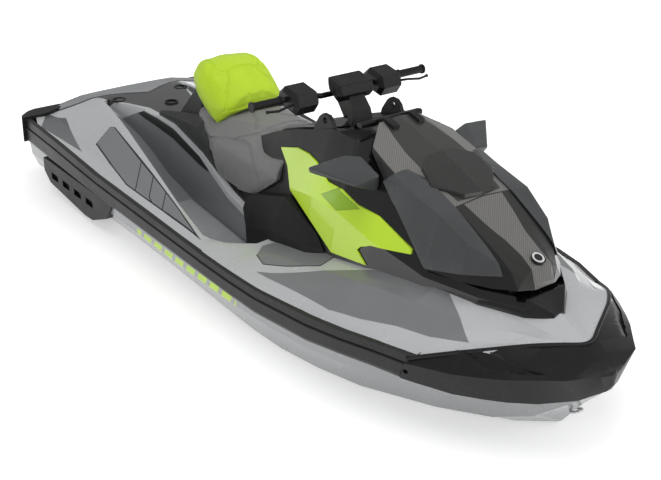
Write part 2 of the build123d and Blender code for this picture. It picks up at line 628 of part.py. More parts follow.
# Sponsons under the rails
sponsonLine = [(-1400, 118), (-700, 116), (-760, 30), (-900, -30), (-980, -34), (-1340, 4), (-1400, 50)]
sponson = prismXZ(sponsonLine, wide(500), wide(602)) - hullForm - rail
for x in (-1320, -1200, -1080, -960):
    sponson = sponson - box(x, x + 70, wide(602) - 16, wide(602) + 20, 34, 66)
sponson = largest(sponson)
keep("sponsons", sponson, mirrored(sponson))

# Mats and panels on the deck
deckSheet = (Pos(0, 0, sheetThickness) * deckForm) - deckForm
rearLine = [(-1630, 420), (-1589, 412), (-1519, 190), (-1410, 0)]
rearMat = deckSheet & prismXY(acrossBeam(rearLine), 200, 420)
keep("rear_mat", largest(rearMat - cap - mirrored(cap)))
matLine = [(-1000, 290), (-880, 322), (-600, 378), (-300, 442), (-40, 486), (60, 452), (130, 392),
           (130, 330), (60, 308), (-300, 272), (-600, 246), (-880, 216), (-1000, 204)]
footMat = prismXY([(x, wide(y)) for x, y in matLine], 92, 92 + sheetThickness) - pod - pieces["deck"]
footMat = largest(footMat)
keep("footwell_mats", footMat, mirrored(footMat))
flankLine = [(-1136, 439), (-1175, 345), (-1150, 338), (-744, 422), (-70, 551), (-646, 544)]
flank = largest(deckSheet & prismXY([(x, wide(y)) for x, y in flankLine], 180, 330))
keep("flank_panels", flank, mirrored(flank))
plateLine = [(200, 400), (248, 461), (331, 487), (559, 387), (548, 290), (240, 290)]
kneePlate = (deckSheet & prismXY([(x, wide(y)) for x, y in plateLine], 150, 330)) - pod - body - accent
kneePlate = largest(kneePlate)
keep("knee_plates", kneePlate, mirrored(kneePlate))

# Engine, one block on its mounts in the bay
engine = box(engineFront - engineLength, engineFront, -engineWidth / 2, engineWidth / 2,
             bayFloor, bayFloor + engineHeight)
keep("engine_block", engine)


# Jet pump. The tunnel, its chamber and the recess for the nozzle are cut in the hull above
def turned(profile):
    """Solid of revolution about the shaft line, from (x, radius) points."""
    face = Face(ring([(x, 0, shaftHeight + r) for x, r in profile]))
    return Solid.revolve(face, 360, Axis((0, 0, shaftHeight), (1, 0, 0)))


flangeRadius = pumpBore + pumpWall + flangeReach
housing = turned([(chamberFront, pumpBore), (chamberFront, flangeRadius),
                  (chamberFront - flangeThick, flangeRadius),
                  (chamberFront - flangeThick, pumpBore + pumpWall), (coneFront, pumpBore + pumpWall),
                  (coneBack, jetRadius + pumpWall), (gimbalX, jetRadius + pumpWall), (gimbalX, jetRadius),
                  (coneBack, jetRadius), (coneFront, pumpBore)])
statorHub = turned([(statorFront, 0), (statorFront, hubRadius), (coneFront, hubRadius),
                    (coneBack, hubTip), (coneBack, 0)])
vane = box(coneFront, statorFront, -vaneThick / 2, vaneThick / 2,
           shaftHeight + hubRadius - pinRadius, shaftHeight + pumpBore + pumpWall / 2)
shaftLine = Axis((0, 0, shaftHeight), (1, 0, 0))
for k in range(vaneCount):
    housing = housing + vane.rotate(shaftLine, 360 / vaneCount * k)
housing = housing + statorHub
bearing = turned([(statorFront - bearingDepth, 0), (statorFront - bearingDepth, shaftRadius + fitGap),
                  (statorFront + 1, shaftRadius + fitGap), (statorFront + 1, 0)])
housing = housing - bearing
armOutside = armInside + armThick
for side in (-1, 1):
    arm = box(gimbalX - 22, coneFront + 25, armInside, armOutside, shaftHeight - 18, shaftHeight + 66)
    web = box(coneFront, coneFront + 25, pumpBore - 2, armOutside, shaftHeight - 18, shaftHeight + 18)
    pinTrim = rod((gimbalX, ringBore, shaftHeight), (gimbalX, armInside + 4, shaftHeight), pinRadius)
    pinGate = rod((gateX, armInside + 4, gateZ), (gateX, gateHalf + 1, gateZ), pinRadius)
    bracket = arm + web + pinTrim + pinGate
    housing = housing + (bracket if side > 0 else mirrored(bracket))
keep("pump_housing", housing)

tipGap = 22.0              # from the pump's bore to the blade's tip
bladeRoot = shaftHeight + hubRadius - 4
bladeTip = shaftHeight + pumpBore - tipGap
bladeSections = ((bladeRoot, 26.0, 6.0), (bladeTip, 46.0, 4.0))   # height, twist, thickness
blade = loftOf([[(impellerBack, -twist, z), (impellerBack, thick - twist, z),
                 (impellerFront, twist, z), (impellerFront, twist - thick, z)]
                for z, twist, thick in bladeSections])
impeller = turned([(impellerBack, 0), (impellerBack, hubRadius), (impellerFront - 20, hubRadius),
                   (impellerFront, shaftRadius), (shaftFront, shaftRadius), (shaftFront, 0)])
impeller = impeller + rod((statorFront - bearingDepth + 1, 0, shaftHeight),
                          (impellerBack + 1, 0, shaftHeight), shaftRadius)
for k in range(bladeCount):
    impeller = impeller + blade.rotate(shaftLine, 360 / bladeCount * k)
keep("impeller", impeller)

# Trim ring on a cross axis, with the steering nozzle on an upright axis inside it
ringBack = gimbalX - ringLength / 2
ringOuter = ringBore + ringThick
trimRing = turned([(ringBack, ringBore), (ringBack, ringOuter), (ringBack + ringLength, ringOuter),
                   (ringBack + ringLength, ringBore)])
for inner, outer in ((70, 110), (-70, -110)):
    trimRing = trimRing - rod((gimbalX, inner, shaftHeight), (gimbalX, outer, shaftHeight), pinRadius + fitGap)
upright = rod((gimbalX, 0, shaftHeight - 110), (gimbalX, 0, shaftHeight + 110), pinRadius + fitGap)
keep("trim_ring", trimRing - upright)
nozzle = turned([(gimbalX + 18, nozzleMouth), (gimbalX + 18, nozzleMouth + nozzleWall),
                 (ringBack, nozzleMouth + nozzleWall),
                 (gimbalX - 50, nozzleExit + 8), (nozzleBack, nozzleExit + 5), (nozzleBack, nozzleExit),
                 (gimbalX - 50, nozzleExit + 2), (ringBack, nozzleMouth)])
for side in (-1, 1):
    nozzle = nozzle + rod((gimbalX, 0, shaftHeight + side * (nozzleMouth + nozzleWall / 2)),
                          (gimbalX, 0, shaftHeight + side * (ringOuter - 1)), pinRadius)
keep("steering_nozzle", nozzle)


def gateArc(radius, angles):
    turns = [math.radians(angle) for angle in angles]
    return [(gateX - radius * math.cos(turn), gateZ + radius * math.sin(turn)) for turn in turns]


# Reverse gate, a curved bucket that swings down behind the nozzle
gateMid = (gateLow + gateHigh) / 2
gateOuter = gateArc(gateReach + gateThick, (gateHigh, gateMid, gateLow))
gate = prismXZ(gateArc(gateReach, (gateLow, gateMid, gateHigh)) + gateOuter, -gateHalf, gateHalf)
plate = prismXZ([(gateX + 16, gateZ - 12), (gateX + 16, gateZ + 14)] + gateOuter + [(gateX - 6, gateZ - 16)],
                gateHalf - armThick, gateHalf)
gate = gate + plate + mirrored(plate)
gate = gate - rod((gateX, -gateHalf - 80, gateZ), (gateX, gateHalf + 80, gateZ), pinRadius + fitGap)
keep("reverse_gate", gate)

# Ride plate under the pump, and the intake grate ahead of it
plateHalf = chamberHalf
plateThick = 12.0
deadrise = (hullStations[1][3] + keelDepth) / hullStations[1][2]
halfPlate = [(0, -keelDepth), (plateHalf, -keelDepth + plateHalf * deadrise),
             (plateHalf, -keelDepth + plateHalf * deadrise + plateThick), (0, -keelDepth + plateThick)]
ridePlate = Solid.extrude(Face(ring(bothSides(halfPlate, ridePlateBack))),
                          Vector(ridePlateFront - ridePlateBack, 0, 0))
keep("ride_plate", ridePlate)
grateLow = -206.0
grate = box(chamberFront, chamberFront + 30, -intakeHalf, intakeHalf, grateLow, grateLow + 10)
grate = grate + box(grateFront - 30, grateFront, -intakeHalf, intakeHalf, grateLow, grateLow + 10)
for y in (-40, 0, 40):
    grate = grate + box(chamberFront, grateFront, y - 4, y + 4, grateLow, grateLow + 14)
keep("intake_grate", grate)

# Tow and tie-down eyes: U-bolts of round bar
eyeGap = 26.0
eyeBar = 5.0


def towLoop(reach):
    """U-bolt whose two legs stand along -X from the origin."""
    y = eyeGap / 2 + eyeBar
    bend = 10.0
    corners = [(-reach, -y, 0), (-reach - bend, bend - y, 0), (-reach - bend, y - bend, 0), (-reach, y, 0)]
    legs = [(0, -y, 0)] + corners + [(0, y, 0)]
    loop = rod(legs[0], legs[1], eyeBar)
    for a, b in zip(legs[1:-1], legs[2:]):
        loop = loop + rod(a, b, eyeBar) + Pos(*a) * Sphere(eyeBar)
    return loop + Pos(*legs[-2]) * Sphere(eyeBar)


sternLoop = Pos(sternX, wide(430), 30) * towLoop(16)
keep("stern_eyes", sternLoop, mirrored(sternLoop))
bowLoop = Pos(1508, 0, 20) * Rot(0, 150, 0) * towLoop(22)
keep("bow_eye", largest(bowLoop - hullForm))

# Steering: column, bar, grips, control housings, levers and display
column = rod(alongSteer(columnLow), alongSteer(columnHigh), columnRadius)
column = column + rod(alongSteer(-stemDepth + 1), alongSteer(columnLow + 8), stemRadius)
coverHalf = 46.0
coverWaist = 13.0          # narrowing of the cover behind its foot
coverLine = [(168, 744), (214, 700), (290, 690), (318, 704), (300, 752), (262, 806), (196, 812)]
cover = prismXZ(coverLine, -coverHalf, coverHalf)
cover = cover - rod(alongSteer(-80), alongSteer(columnHigh + 1), columnRadius) - body
waistLine = [(140, coverHalf + 10), (360, coverHalf + 10), (360, coverHalf), (300, coverHalf),
             (250, coverHalf - coverWaist), (140, coverHalf - coverWaist)]
waist = prismXY(waistLine, 600, 900)
cover = cover - waist - mirrored(waist)
barRadius = 11.0
barEnd = 424.0
barPath = [(184, 0, 797), (184, 112, 797), (168, 180, 807), (167, barEnd, 807)]
halfBar = rod(barPath[0], barPath[1], barRadius)
for a, b in zip(barPath[1:-1], barPath[2:]):
    halfBar = halfBar + rod(a, b, barRadius) + Pos(*a) * Sphere(barRadius)
bar = halfBar + mirrored(halfBar)
column = column - bar
cover = largest(cover - bar - column)
keep("steering_column", column)
keep("steering_cover", cover)
keep("handlebar", bar)
gripIn = 292.0
gripRadius = 16.0
gripFlange = 20.0
grip = rod((167.5, gripIn, 807), (167, barEnd, 807), gripRadius)
grip = grip + rod((167, barEnd - 2, 807), (167, barEnd + 6, 807), gripFlange)
grip = grip + rod((167.5, gripIn, 807), (167.5, gripIn + 8, 807), gripFlange)
grip = grip - rod(barPath[2], barPath[3], barRadius)
keep("grips", grip, mirrored(grip))
controlIn = 150.0
controlOut = 270.0
controlLine = [(118, 770), (214, 752), (240, 790), (222, 838), (140, 852), (104, 820)]
control = prismXZ(controlLine, controlIn, controlOut)
control = control.chamfer(16, None, control.edges().filter_by(lambda e: abs(e.tangent_at(0).Y) < 0.5))
control = control - bar
keep("control_housings", control, mirrored(control))
leverPath = [(214, controlOut - 8, 800), (226, 300, 802), (238, 352, 798), (230, 398, 800)]
lever = rod(leverPath[0], leverPath[1], 5)
for a, b in zip(leverPath[1:-1], leverPath[2:]):
    lever = lever + rod(a, b, 5) + Pos(*a) * Sphere(5)
lever = lever + Pos(*leverPath[-1]) * Sphere(7)
lever = lever - control
keep("levers", largest(lever), mirrored(largest(lever)))
displayHalf = 92.0
displayLine = [(196, 818), (250, 782), (276, 812), (262, 850), (180, 868)]
display = prismXZ(displayLine, -displayHalf, displayHalf)
display = display.chamfer(14, None, display.edges().filter_by(lambda e: abs(e.tangent_at(0).Y) < 0.5))
display = largest(display - bar - cover - column)
keep("gauge_pod", display)

# Mirrors on the hood's sides
mirrorSweep = 0.2          # rearward lean of the mirror's two ends, per millimetre outboard
mirrorRear = [(228, 622), (228, 708), (300, 724), (446, 700), (440, 676), (300, 640)]
mirrorFront = [(228, 606), (228, 670), (262, 664), (330, 650), (330, 640), (262, 612)]
mirrorBody = loftOf([[(x - mirrorSweep * y, y, z) for y, z in line]
                     for x, line in ((632, mirrorRear), (742, mirrorFront))])
mirrorBody = largest(mirrorBody - body)
keep("mirrors", mirrorBody, mirrored(mirrorBody))
glassLine = [(250, 652), (250, 706), (300, 716), (428, 696), (424, 680), (300, 650)]
glass = loftOf([[(x - mirrorSweep * y, y, z) for y, z in glassLine] for x in (628, 632)])
keep("mirror_glass", glass, mirrored(glass))

# Rings for cargo fasteners on the rear deck
ringRadius = 34.0
socketBore = 25.0
socketHeight = 8.0
socketSpots = [(-1392, 178, 328.0), (-1392, -178, 328.0), (-1180, 0, 345.0)]
socketRings = []
for x, y, z in socketSpots:
    ringBody = Pos(x, y, z - 10) * (Cylinder(ringRadius, 2 * socketHeight + 20)
                                    - Cylinder(socketBore, 2 * socketHeight + 20))
    socketRings.append(largest(ringBody - deckForm - pieces["rear_mat"] - seatBase))
keep("socket_rings", *socketRings)

os.makedirs("parts", exist_ok=True)
for name, shape in pieces.items():
    export_step(Pos(0, 0, datumHeight) * shape, f"parts/{name}.step")
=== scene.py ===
import math
import json
import bpy
import bmesh
import numpy
from mathutils import Matrix, Vector
from mathutils.bvhtree import BVHTree
from mathutils.kdtree import KDTree


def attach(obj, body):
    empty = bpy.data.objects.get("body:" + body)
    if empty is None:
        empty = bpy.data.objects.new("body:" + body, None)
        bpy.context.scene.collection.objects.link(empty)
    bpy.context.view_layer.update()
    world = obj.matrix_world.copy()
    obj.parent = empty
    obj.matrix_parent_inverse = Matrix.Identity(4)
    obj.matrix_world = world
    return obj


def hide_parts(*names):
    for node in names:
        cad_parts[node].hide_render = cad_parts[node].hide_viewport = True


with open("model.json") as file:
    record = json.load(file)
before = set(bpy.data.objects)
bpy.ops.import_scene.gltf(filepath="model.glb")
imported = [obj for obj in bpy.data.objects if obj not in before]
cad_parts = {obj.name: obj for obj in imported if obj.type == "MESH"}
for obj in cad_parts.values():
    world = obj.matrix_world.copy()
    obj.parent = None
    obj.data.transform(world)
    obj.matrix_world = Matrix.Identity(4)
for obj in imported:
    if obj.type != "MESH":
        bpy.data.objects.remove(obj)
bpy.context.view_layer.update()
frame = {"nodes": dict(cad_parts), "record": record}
nodes = frame["nodes"]
print("frame loaded:", len(nodes), "nodes")

# camera at the photograph's angle, fitted to the outline of the craft
camera = {
    "azimuth": 51.80, "elevation": 26.28, "roll": 1.53,
    "place": (3.588, -2.720, 2.345),
    "lens": 62.85, "shift": (-0.0014, 0.0012),
}


def makeCamera():
    az, el, roll = (math.radians(camera[k]) for k in ("azimuth", "elevation", "roll"))
    back = Vector((math.sin(az) * math.cos(el), -math.cos(az) * math.cos(el), math.sin(el)))
    right = (-back).cross(Vector((0, 0, 1))).normalized()
    up = right.cross(-back)
    rolledRight = right * math.cos(roll) + up * math.sin(roll)
    rolledUp = up * math.cos(roll) - right * math.sin(roll)
    data = bpy.data.cameras.new("camera")
    data.lens = camera["lens"]
    data.shift_x, data.shift_y = camera["shift"]
    data.clip_end = 60
    eye = bpy.data.objects.new("camera", data)
    turn = Matrix((rolledRight, rolledUp, back)).transposed().to_4x4()
    eye.matrix_world = Matrix.Translation(camera["place"]) @ turn
    bpy.context.scene.collection.objects.link(eye)
    bpy.context.scene.camera = eye


def mathNode(tree, operation, first, second=None, third=None):
    node = tree.nodes.new("ShaderNodeMath")
    node.operation = operation
    for socket, value in zip(node.inputs, (first, second, third)):
        if value is None:
            continue
        if isinstance(value, (int, float)):
            socket.default_value = value
        else:
            tree.links.new(value, socket)
    return node.outputs[0]


def seenBy(tree, *rays):
    # 1 for the light rays named, else 0
    path = tree.nodes.new("ShaderNodeLightPath")
    mask = path.outputs[rays[0]]
    for ray in rays[1:]:
        mask = mathNode(tree, "MAXIMUM", mask, path.outputs[ray])
    return mask


# soft studio light: a wide overhead panel, a key from the bow quarter and two fills
studio = {
    "worldStrength": 0.36,
    "panels": [
        ("overhead", (0.2, 0.0, 4.6), (0.0, 0.0, 0.2), (5.5, 3.6), 118.0),
        ("bow_key", (4.4, 1.8, 3.0), (0.4, 0.0, 0.3), (2.6, 2.0), 46.0),
        ("starboard_fill", (0.6, -5.0, 2.2), (0.0, 0.0, 0.3), (4.5, 1.6), 52.0),
        ("port_rim", (-1.5, 4.8, 2.6), (0.0, 0.0, 0.4), (4.0, 1.4), 40.0),
    ],
}


def makeLights():
    world = bpy.data.worlds.new("studio")
    world.use_nodes = True
    tree = world.node_tree
    background = tree.nodes["Background"]
    background.inputs["Color"].default_value = (1, 1, 1, 1)
    seen = seenBy(tree, "Is Camera Ray", "Is Transmission Ray")
    strength = tree.nodes.new("ShaderNodeMapRange")
    tree.links.new(seen, strength.inputs["Value"])
    strength.inputs["To Min"].default_value = studio["worldStrength"]
    strength.inputs["To Max"].default_value = 1.0
    tree.links.new(strength.outputs["Result"], background.inputs["Strength"])
    bpy.context.scene.world = world
    for name, place, target, size, power in studio["panels"]:
        data = bpy.data.lights.new(name, "AREA")
        data.shape = "RECTANGLE"
        data.size, data.size_y = size
        data.energy = power
        lamp = bpy.data.objects.new(name, data)
        lamp.visible_glossy = name == "bow_key"  # the broad panels would grey the black gloss
        lamp.location = place
        aim = Vector(target) - Vector(place)
        lamp.rotation_euler = aim.to_track_quat("-Z", "Y").to_euler()
        bpy.context.scene.collection.objects.link(lamp)


# the floor lies at the waterline, and fades to plain white away from the craft
floor = {"half": 14.0, "shade": 0.86, "near": 1.5, "far": 3.4, "glowNear": 0.46, "glowFar": 1.0}


def makeFloor():
    bm = bmesh.new()
    bmesh.ops.create_grid(bm, x_segments=2, y_segments=2, size=floor["half"])
    mesh = bpy.data.meshes.new("floor")
    bm.to_mesh(mesh)
    bm.free()
    ground = bpy.data.objects.new("floor", mesh)
    bpy.context.scene.collection.objects.link(ground)
    material = bpy.data.materials.new("pale floor")
    material.use_nodes = True
    tree = material.node_tree
    shader = tree.nodes["Principled BSDF"]
    shader.inputs["Base Color"].default_value = (floor["shade"],) * 3 + (1,)
    shader.inputs["Roughness"].default_value = 0.9
    distance = tree.nodes.new("ShaderNodeVectorMath")
    distance.operation = "LENGTH"
    tree.links.new(tree.nodes.new("ShaderNodeTexCoord").outputs["Object"], distance.inputs[0])
    fade = tree.nodes.new("ShaderNodeMapRange")
    tree.links.new(distance.outputs["Value"], fade.inputs["Value"])
    sockets = {"From Min": "near", "From Max": "far", "To Min": "glowNear", "To Max": "glowFar"}
    for label, key in sockets.items():
        fade.inputs[label].default_value = floor[key]
    glow = tree.nodes.new("ShaderNodeEmission")
    tree.links.new(fade.outputs["Result"], glow.inputs["Strength"])
    both = tree.nodes.new("ShaderNodeAddShader")
    tree.links.new(shader.outputs["BSDF"], both.inputs[0])
    tree.links.new(glow.outputs["Emission"], both.inputs[1])
    pick = tree.nodes.new("ShaderNodeMixShader")
    tree.links.new(seenBy(tree, "Is Camera Ray", "Is Transmission Ray", "Is Glossy Ray"), pick.inputs["Fac"])
    tree.links.new(shader.outputs["BSDF"], pick.inputs[1])
    tree.links.new(both.outputs["Shader"], pick.inputs[2])
    tree.links.new(pick.outputs["Shader"], tree.nodes["Material Output"].inputs["Surface"])
    mesh.materials.append(material)


makeCamera()
makeLights()
makeFloor()
bpy.context.scene.view_settings.view_transform = "Standard"
print("camera, lights and floor made")


def groupTree(name, inputs, outputs):
    tree = bpy.data.node_groups.new(name, "ShaderNodeTree")
    for label, value in inputs:
        socket = tree.interface.new_socket(label, in_out="INPUT", socket_type="NodeSocketFloat")
        socket.default_value = value
    for label in outputs:
        tree.interface.new_socket(label, in_out="OUTPUT", socket_type="NodeSocketFloat")
    return tree, tree.nodes.new("NodeGroupInput").outputs, tree.nodes.new("NodeGroupOutput").inputs


def noiseNode(tree, coords, scale, detail=3.0, roughness=0.55, stretch=None):
    if stretch:
        mapping = tree.nodes.new("ShaderNodeMapping")
        mapping.inputs["Scale"].default_value = stretch
        tree.links.new(coords, mapping.inputs["Vector"])
        coords = mapping.outputs["Vector"]
    node = tree.nodes.new("ShaderNodeTexNoise")
    node.inputs["Detail"].default_value = detail
    node.inputs["Roughness"].default_value = roughness
    if isinstance(scale, (int, float)):
        node.inputs["Scale"].default_value = scale
    else:
        tree.links.new(scale, node.inputs["Scale"])
    tree.links.new(coords, node.inputs["Vector"])
    return node.outputs["Fac"]


def objectCoords(tree):
    return tree.nodes.new("ShaderNodeTexCoord").outputs["Object"]


def span(tree, value, low, high, toLow=0.0, toHigh=1.0):
    node = tree.nodes.new("ShaderNodeMapRange")
    node.interpolation_type = "SMOOTHSTEP"
    tree.links.new(value, node.inputs["Value"])
    for label, number in (("From Min", low), ("From Max", high), ("To Min", toLow), ("To Max", toHigh)):
        node.inputs[label].default_value = number
    return node.outputs["Result"]


def makeMouldGrain():
    # pebbled texture of moulded plastic and rubber
    tree, given, out = groupTree("mould grain", [("Scale", 700.0)], ["Height", "Mottle"])
    coords = objectCoords(tree)
    pebble = tree.nodes.new("ShaderNodeTexVoronoi")
    pebble.feature = "SMOOTH_F1"
    tree.links.new(coords, pebble.inputs["Vector"])
    tree.links.new(given["Scale"], pebble.inputs["Scale"])
    fine = noiseNode(tree, coords, mathNode(tree, "MULTIPLY", given["Scale"], 2.1), 2.0)
    height = mathNode(tree, "ADD", pebble.outputs["Distance"], mathNode(tree, "MULTIPLY", fine, 0.5))
    tree.links.new(height, out["Height"])
    tree.links.new(noiseNode(tree, coords, 9.0, 4.0), out["Mottle"])
    return tree


def makeGelcoat():
    # long ripple of laid-up moulding, and the fine flake under its clear coat
    tree, given, out = groupTree("gelcoat", [("Flake Scale", 1400.0)], ["Height", "Flake", "Cloud"])
    coords = objectCoords(tree)
    ripple = noiseNode(tree, coords, 26.0, 2.0)
    pull = noiseNode(tree, coords, 60.0, 1.0)
    height = mathNode(tree, "MULTIPLY_ADD", ripple, 0.7, mathNode(tree, "MULTIPLY", pull, 0.2))
    tree.links.new(height, out["Height"])
    flake = tree.nodes.new("ShaderNodeTexVoronoi")
    tree.links.new(coords, flake.inputs["Vector"])
    tree.links.new(given["Flake Scale"], flake.inputs["Scale"])
    parts = tree.nodes.new("ShaderNodeSeparateColor")
    tree.links.new(flake.outputs["Color"], parts.inputs["Color"])
    tree.links.new(parts.outputs["Red"], out["Flake"])
    tree.links.new(noiseNode(tree, coords, 2.2, 3.0), out["Cloud"])
    return tree


def makeHandling():
    # scuffs and hairline scratches left by use
    tree, given, out = groupTree("handling marks", [("Amount", 1.0)], ["Scratch", "Smudge"])
    coords = objectCoords(tree)
    lines = noiseNode(tree, coords, 90.0, 3.0, 0.6, (0.25, 2.4, 1.0))
    patches = noiseNode(tree, coords, 6.0, 2.0)
    scratch = mathNode(tree, "MULTIPLY", span(tree, lines, 0.62, 0.7), span(tree, patches, 0.45, 0.65))
    tree.links.new(mathNode(tree, "MULTIPLY", scratch, given["Amount"]), out["Scratch"])
    smudge = span(tree, noiseNode(tree, coords, 13.0, 4.0), 0.35, 0.75)
    tree.links.new(mathNode(tree, "MULTIPLY", smudge, given["Amount"]), out["Smudge"])
    return tree


def makeEdgeRub():
    # brighter corners where hands and lines rub
    tree, given, out = groupTree("edge rub", [("Amount", 0.5)], ["Mask"])
    shape = tree.nodes.new("ShaderNodeNewGeometry").outputs["Pointiness"]
    broken = noiseNode(tree, objectCoords(tree), 70.0, 3.0)
    edge = span(tree, shape, 0.51, 0.56)
    worn = mathNode(tree, "MULTIPLY", edge, span(tree, broken, 0.3, 0.7))
    tree.links.new(mathNode(tree, "MULTIPLY", worn, given["Amount"]), out["Mask"])
    return tree


def makeTwill():
    # two-by-two twill cloth, seen in plan, as tows of width 1/Scale
    tree, given, out = groupTree("twill cloth", [("Scale", 400.0)], ["Tow", "Height"])
    parts = tree.nodes.new("ShaderNodeSeparateXYZ")
    tree.links.new(objectCoords(tree), parts.inputs["Vector"])
    x = mathNode(tree, "MULTIPLY", parts.outputs["X"], given["Scale"])
    y = mathNode(tree, "MULTIPLY", parts.outputs["Y"], given["Scale"])
    warp = mathNode(tree, "FLOOR", x)
    weft = mathNode(tree, "FLOOR", y)
    step = mathNode(tree, "FLOORED_MODULO", mathNode(tree, "ADD", warp, weft), 4.0)
    tow = mathNode(tree, "LESS_THAN", step, 1.5)
    crownX = mathNode(tree, "PINGPONG", x, 0.5)
    crownY = mathNode(tree, "PINGPONG", y, 0.5)
    across = tree.nodes.new("ShaderNodeMix")
    tree.links.new(tow, across.inputs["Factor"])
    tree.links.new(crownX, across.inputs["A"])
    tree.links.new(crownY, across.inputs["B"])
    tree.links.new(tow, out["Tow"])
    tree.links.new(across.outputs["Result"], out["Height"])
    return tree


def makeHide():
    # creases and pores of upholstery vinyl
    tree, given, out = groupTree("vinyl grain", [("Scale", 520.0)], ["Height", "Shade"])
    coords = objectCoords(tree)
    cells = tree.nodes.new("ShaderNodeTexVoronoi")
    cells.feature = "DISTANCE_TO_EDGE"
    warped = tree.nodes.new("ShaderNodeVectorMath")
    warped.operation = "ADD"
    bend = tree.nodes.new("ShaderNodeTexNoise")
    bend.inputs["Scale"].default_value = 120.0
    tree.links.new(coords, bend.inputs["Vector"])
    small = tree.nodes.new("ShaderNodeVectorMath")
    small.operation = "SCALE"
    small.inputs["Scale"].default_value = 0.004
    tree.links.new(bend.outputs["Color"], small.inputs[0])
    tree.links.new(coords, warped.inputs[0])
    tree.links.new(small.outputs["Vector"], warped.inputs[1])
    tree.links.new(warped.outputs["Vector"], cells.inputs["Vector"])
    tree.links.new(given["Scale"], cells.inputs["Scale"])
    tree.links.new(span(tree, cells.outputs["Distance"], 0.0, 0.22), out["Height"])
    tree.links.new(noiseNode(tree, coords, 7.0, 4.0), out["Shade"])
    return tree


groups = {
    "grain": makeMouldGrain(), "gelcoat": makeGelcoat(), "handling": makeHandling(),
    "edge": makeEdgeRub(), "twill": makeTwill(), "hide": makeHide(),
}
materials = {}


def placed(tree, group, **values):
    node = tree.nodes.new("ShaderNodeGroup")
    node.node_tree = groups[group]
    for label, value in values.items():
        node.inputs[label].default_value = value
    return node.outputs


def mixed(tree, factor, first, second):
    node = tree.nodes.new("ShaderNodeMix")
    node.data_type = "RGBA"
    for socket, value in ((node.inputs["A"], first), (node.inputs["B"], second)):
        if isinstance(value, tuple):
            socket.default_value = value + (1,)
        else:
            tree.links.new(value, socket)
    if isinstance(factor, (int, float)):
        node.inputs["Factor"].default_value = factor
    else:
        tree.links.new(factor, node.inputs["Factor"])
    return node.outputs["Result"]


def bumped(tree, height, strength, distance):
    node = tree.nodes.new("ShaderNodeBump")
    node.inputs["Strength"].default_value = strength
    node.inputs["Distance"].default_value = distance
    tree.links.new(height, node.inputs["Height"])
    return node.outputs["Normal"]


def newMaterial(name, **settings):
    material = bpy.data.materials.new(name)
    material.use_nodes = True
    tree = material.node_tree
    shader = tree.nodes["Principled BSDF"]
    for label, value in settings.items():
        shader.inputs[label.replace("_", " ")].default_value = value
    materials[name] = material
    return tree, shader


def scaled(colour, factor):
    return tuple(min(1.0, c * factor) for c in colour)


def paintedOver(tree, colour, rough, regions, mottle):
    # regions laid over a base: what is inside them, their colour and their roughness
    for inside, tint, finish in regions:
        mask = inside(tree)
        colour = mixed(tree, mask, colour, mixed(tree, mottle, scaled(tint, 0.9), scaled(tint, 1.1)))
        gap = mathNode(tree, "SUBTRACT", finish, rough)
        rough = mathNode(tree, "MULTIPLY_ADD", gap, mask, rough)
    return colour, rough


def gelcoatFinish(name, colour, roughness=0.24, metal=0.12, ripple=0.03, regions=(), shine=0.5):
    # glossy moulded hull and body colour
    tree, shader = newMaterial(name, Coat_Weight=shine, Coat_Roughness=0.06, Metallic=metal)
    coat = placed(tree, "gelcoat")
    marks = placed(tree, "handling", Amount=0.6)
    base = mixed(tree, coat["Cloud"], scaled(colour, 0.94), scaled(colour, 1.05))
    worn = mixed(tree, span(tree, coat["Flake"], 0.5, 1.0, 0.0, 0.2), base, scaled(colour, 1.12))
    rough = mathNode(tree, "ADD", mathNode(tree, "MULTIPLY", marks["Smudge"], 0.08), roughness)
    worn, rough = paintedOver(tree, worn, rough, regions, coat["Cloud"])
    tree.links.new(worn, shader.inputs["Base Color"])
    tree.links.new(rough, shader.inputs["Roughness"])
    tree.links.new(bumped(tree, coat["Height"], ripple, 0.002), shader.inputs["Normal"])


def mouldedFinish(name, colour, roughness=0.45, scale=700.0, depth=0.25, rub=0.5, metal=0.0, coat=0.0):
    # grained plastic or rubber, paler where its edges are rubbed
    tree, shader = newMaterial(name, Metallic=metal, Coat_Weight=coat, Coat_Roughness=0.12,
                               Specular_IOR_Level=0.34)
    grain = placed(tree, "grain", Scale=scale)
    marks = placed(tree, "handling", Amount=0.8)
    edge = placed(tree, "edge", Amount=rub)["Mask"]
    base = mixed(tree, grain["Mottle"], scaled(colour, 0.85), scaled(colour, 1.18))
    scuffed = mixed(tree, mathNode(tree, "MULTIPLY", marks["Scratch"], 0.14), base, scaled(colour, 1.7))
    rubbed = mixed(tree, edge, scuffed, scaled(colour, 2.4))
    tree.links.new(rubbed, shader.inputs["Base Color"])
    rough = mathNode(tree, "ADD", mathNode(tree, "MULTIPLY", grain["Mottle"], 0.12), roughness - 0.06)
    tree.links.new(mathNode(tree, "ADD", rough, mathNode(tree, "MULTIPLY", marks["Smudge"], 0.06)),
                   shader.inputs["Roughness"])
    tree.links.new(bumped(tree, grain["Height"], depth, 0.0006), shader.inputs["Normal"])


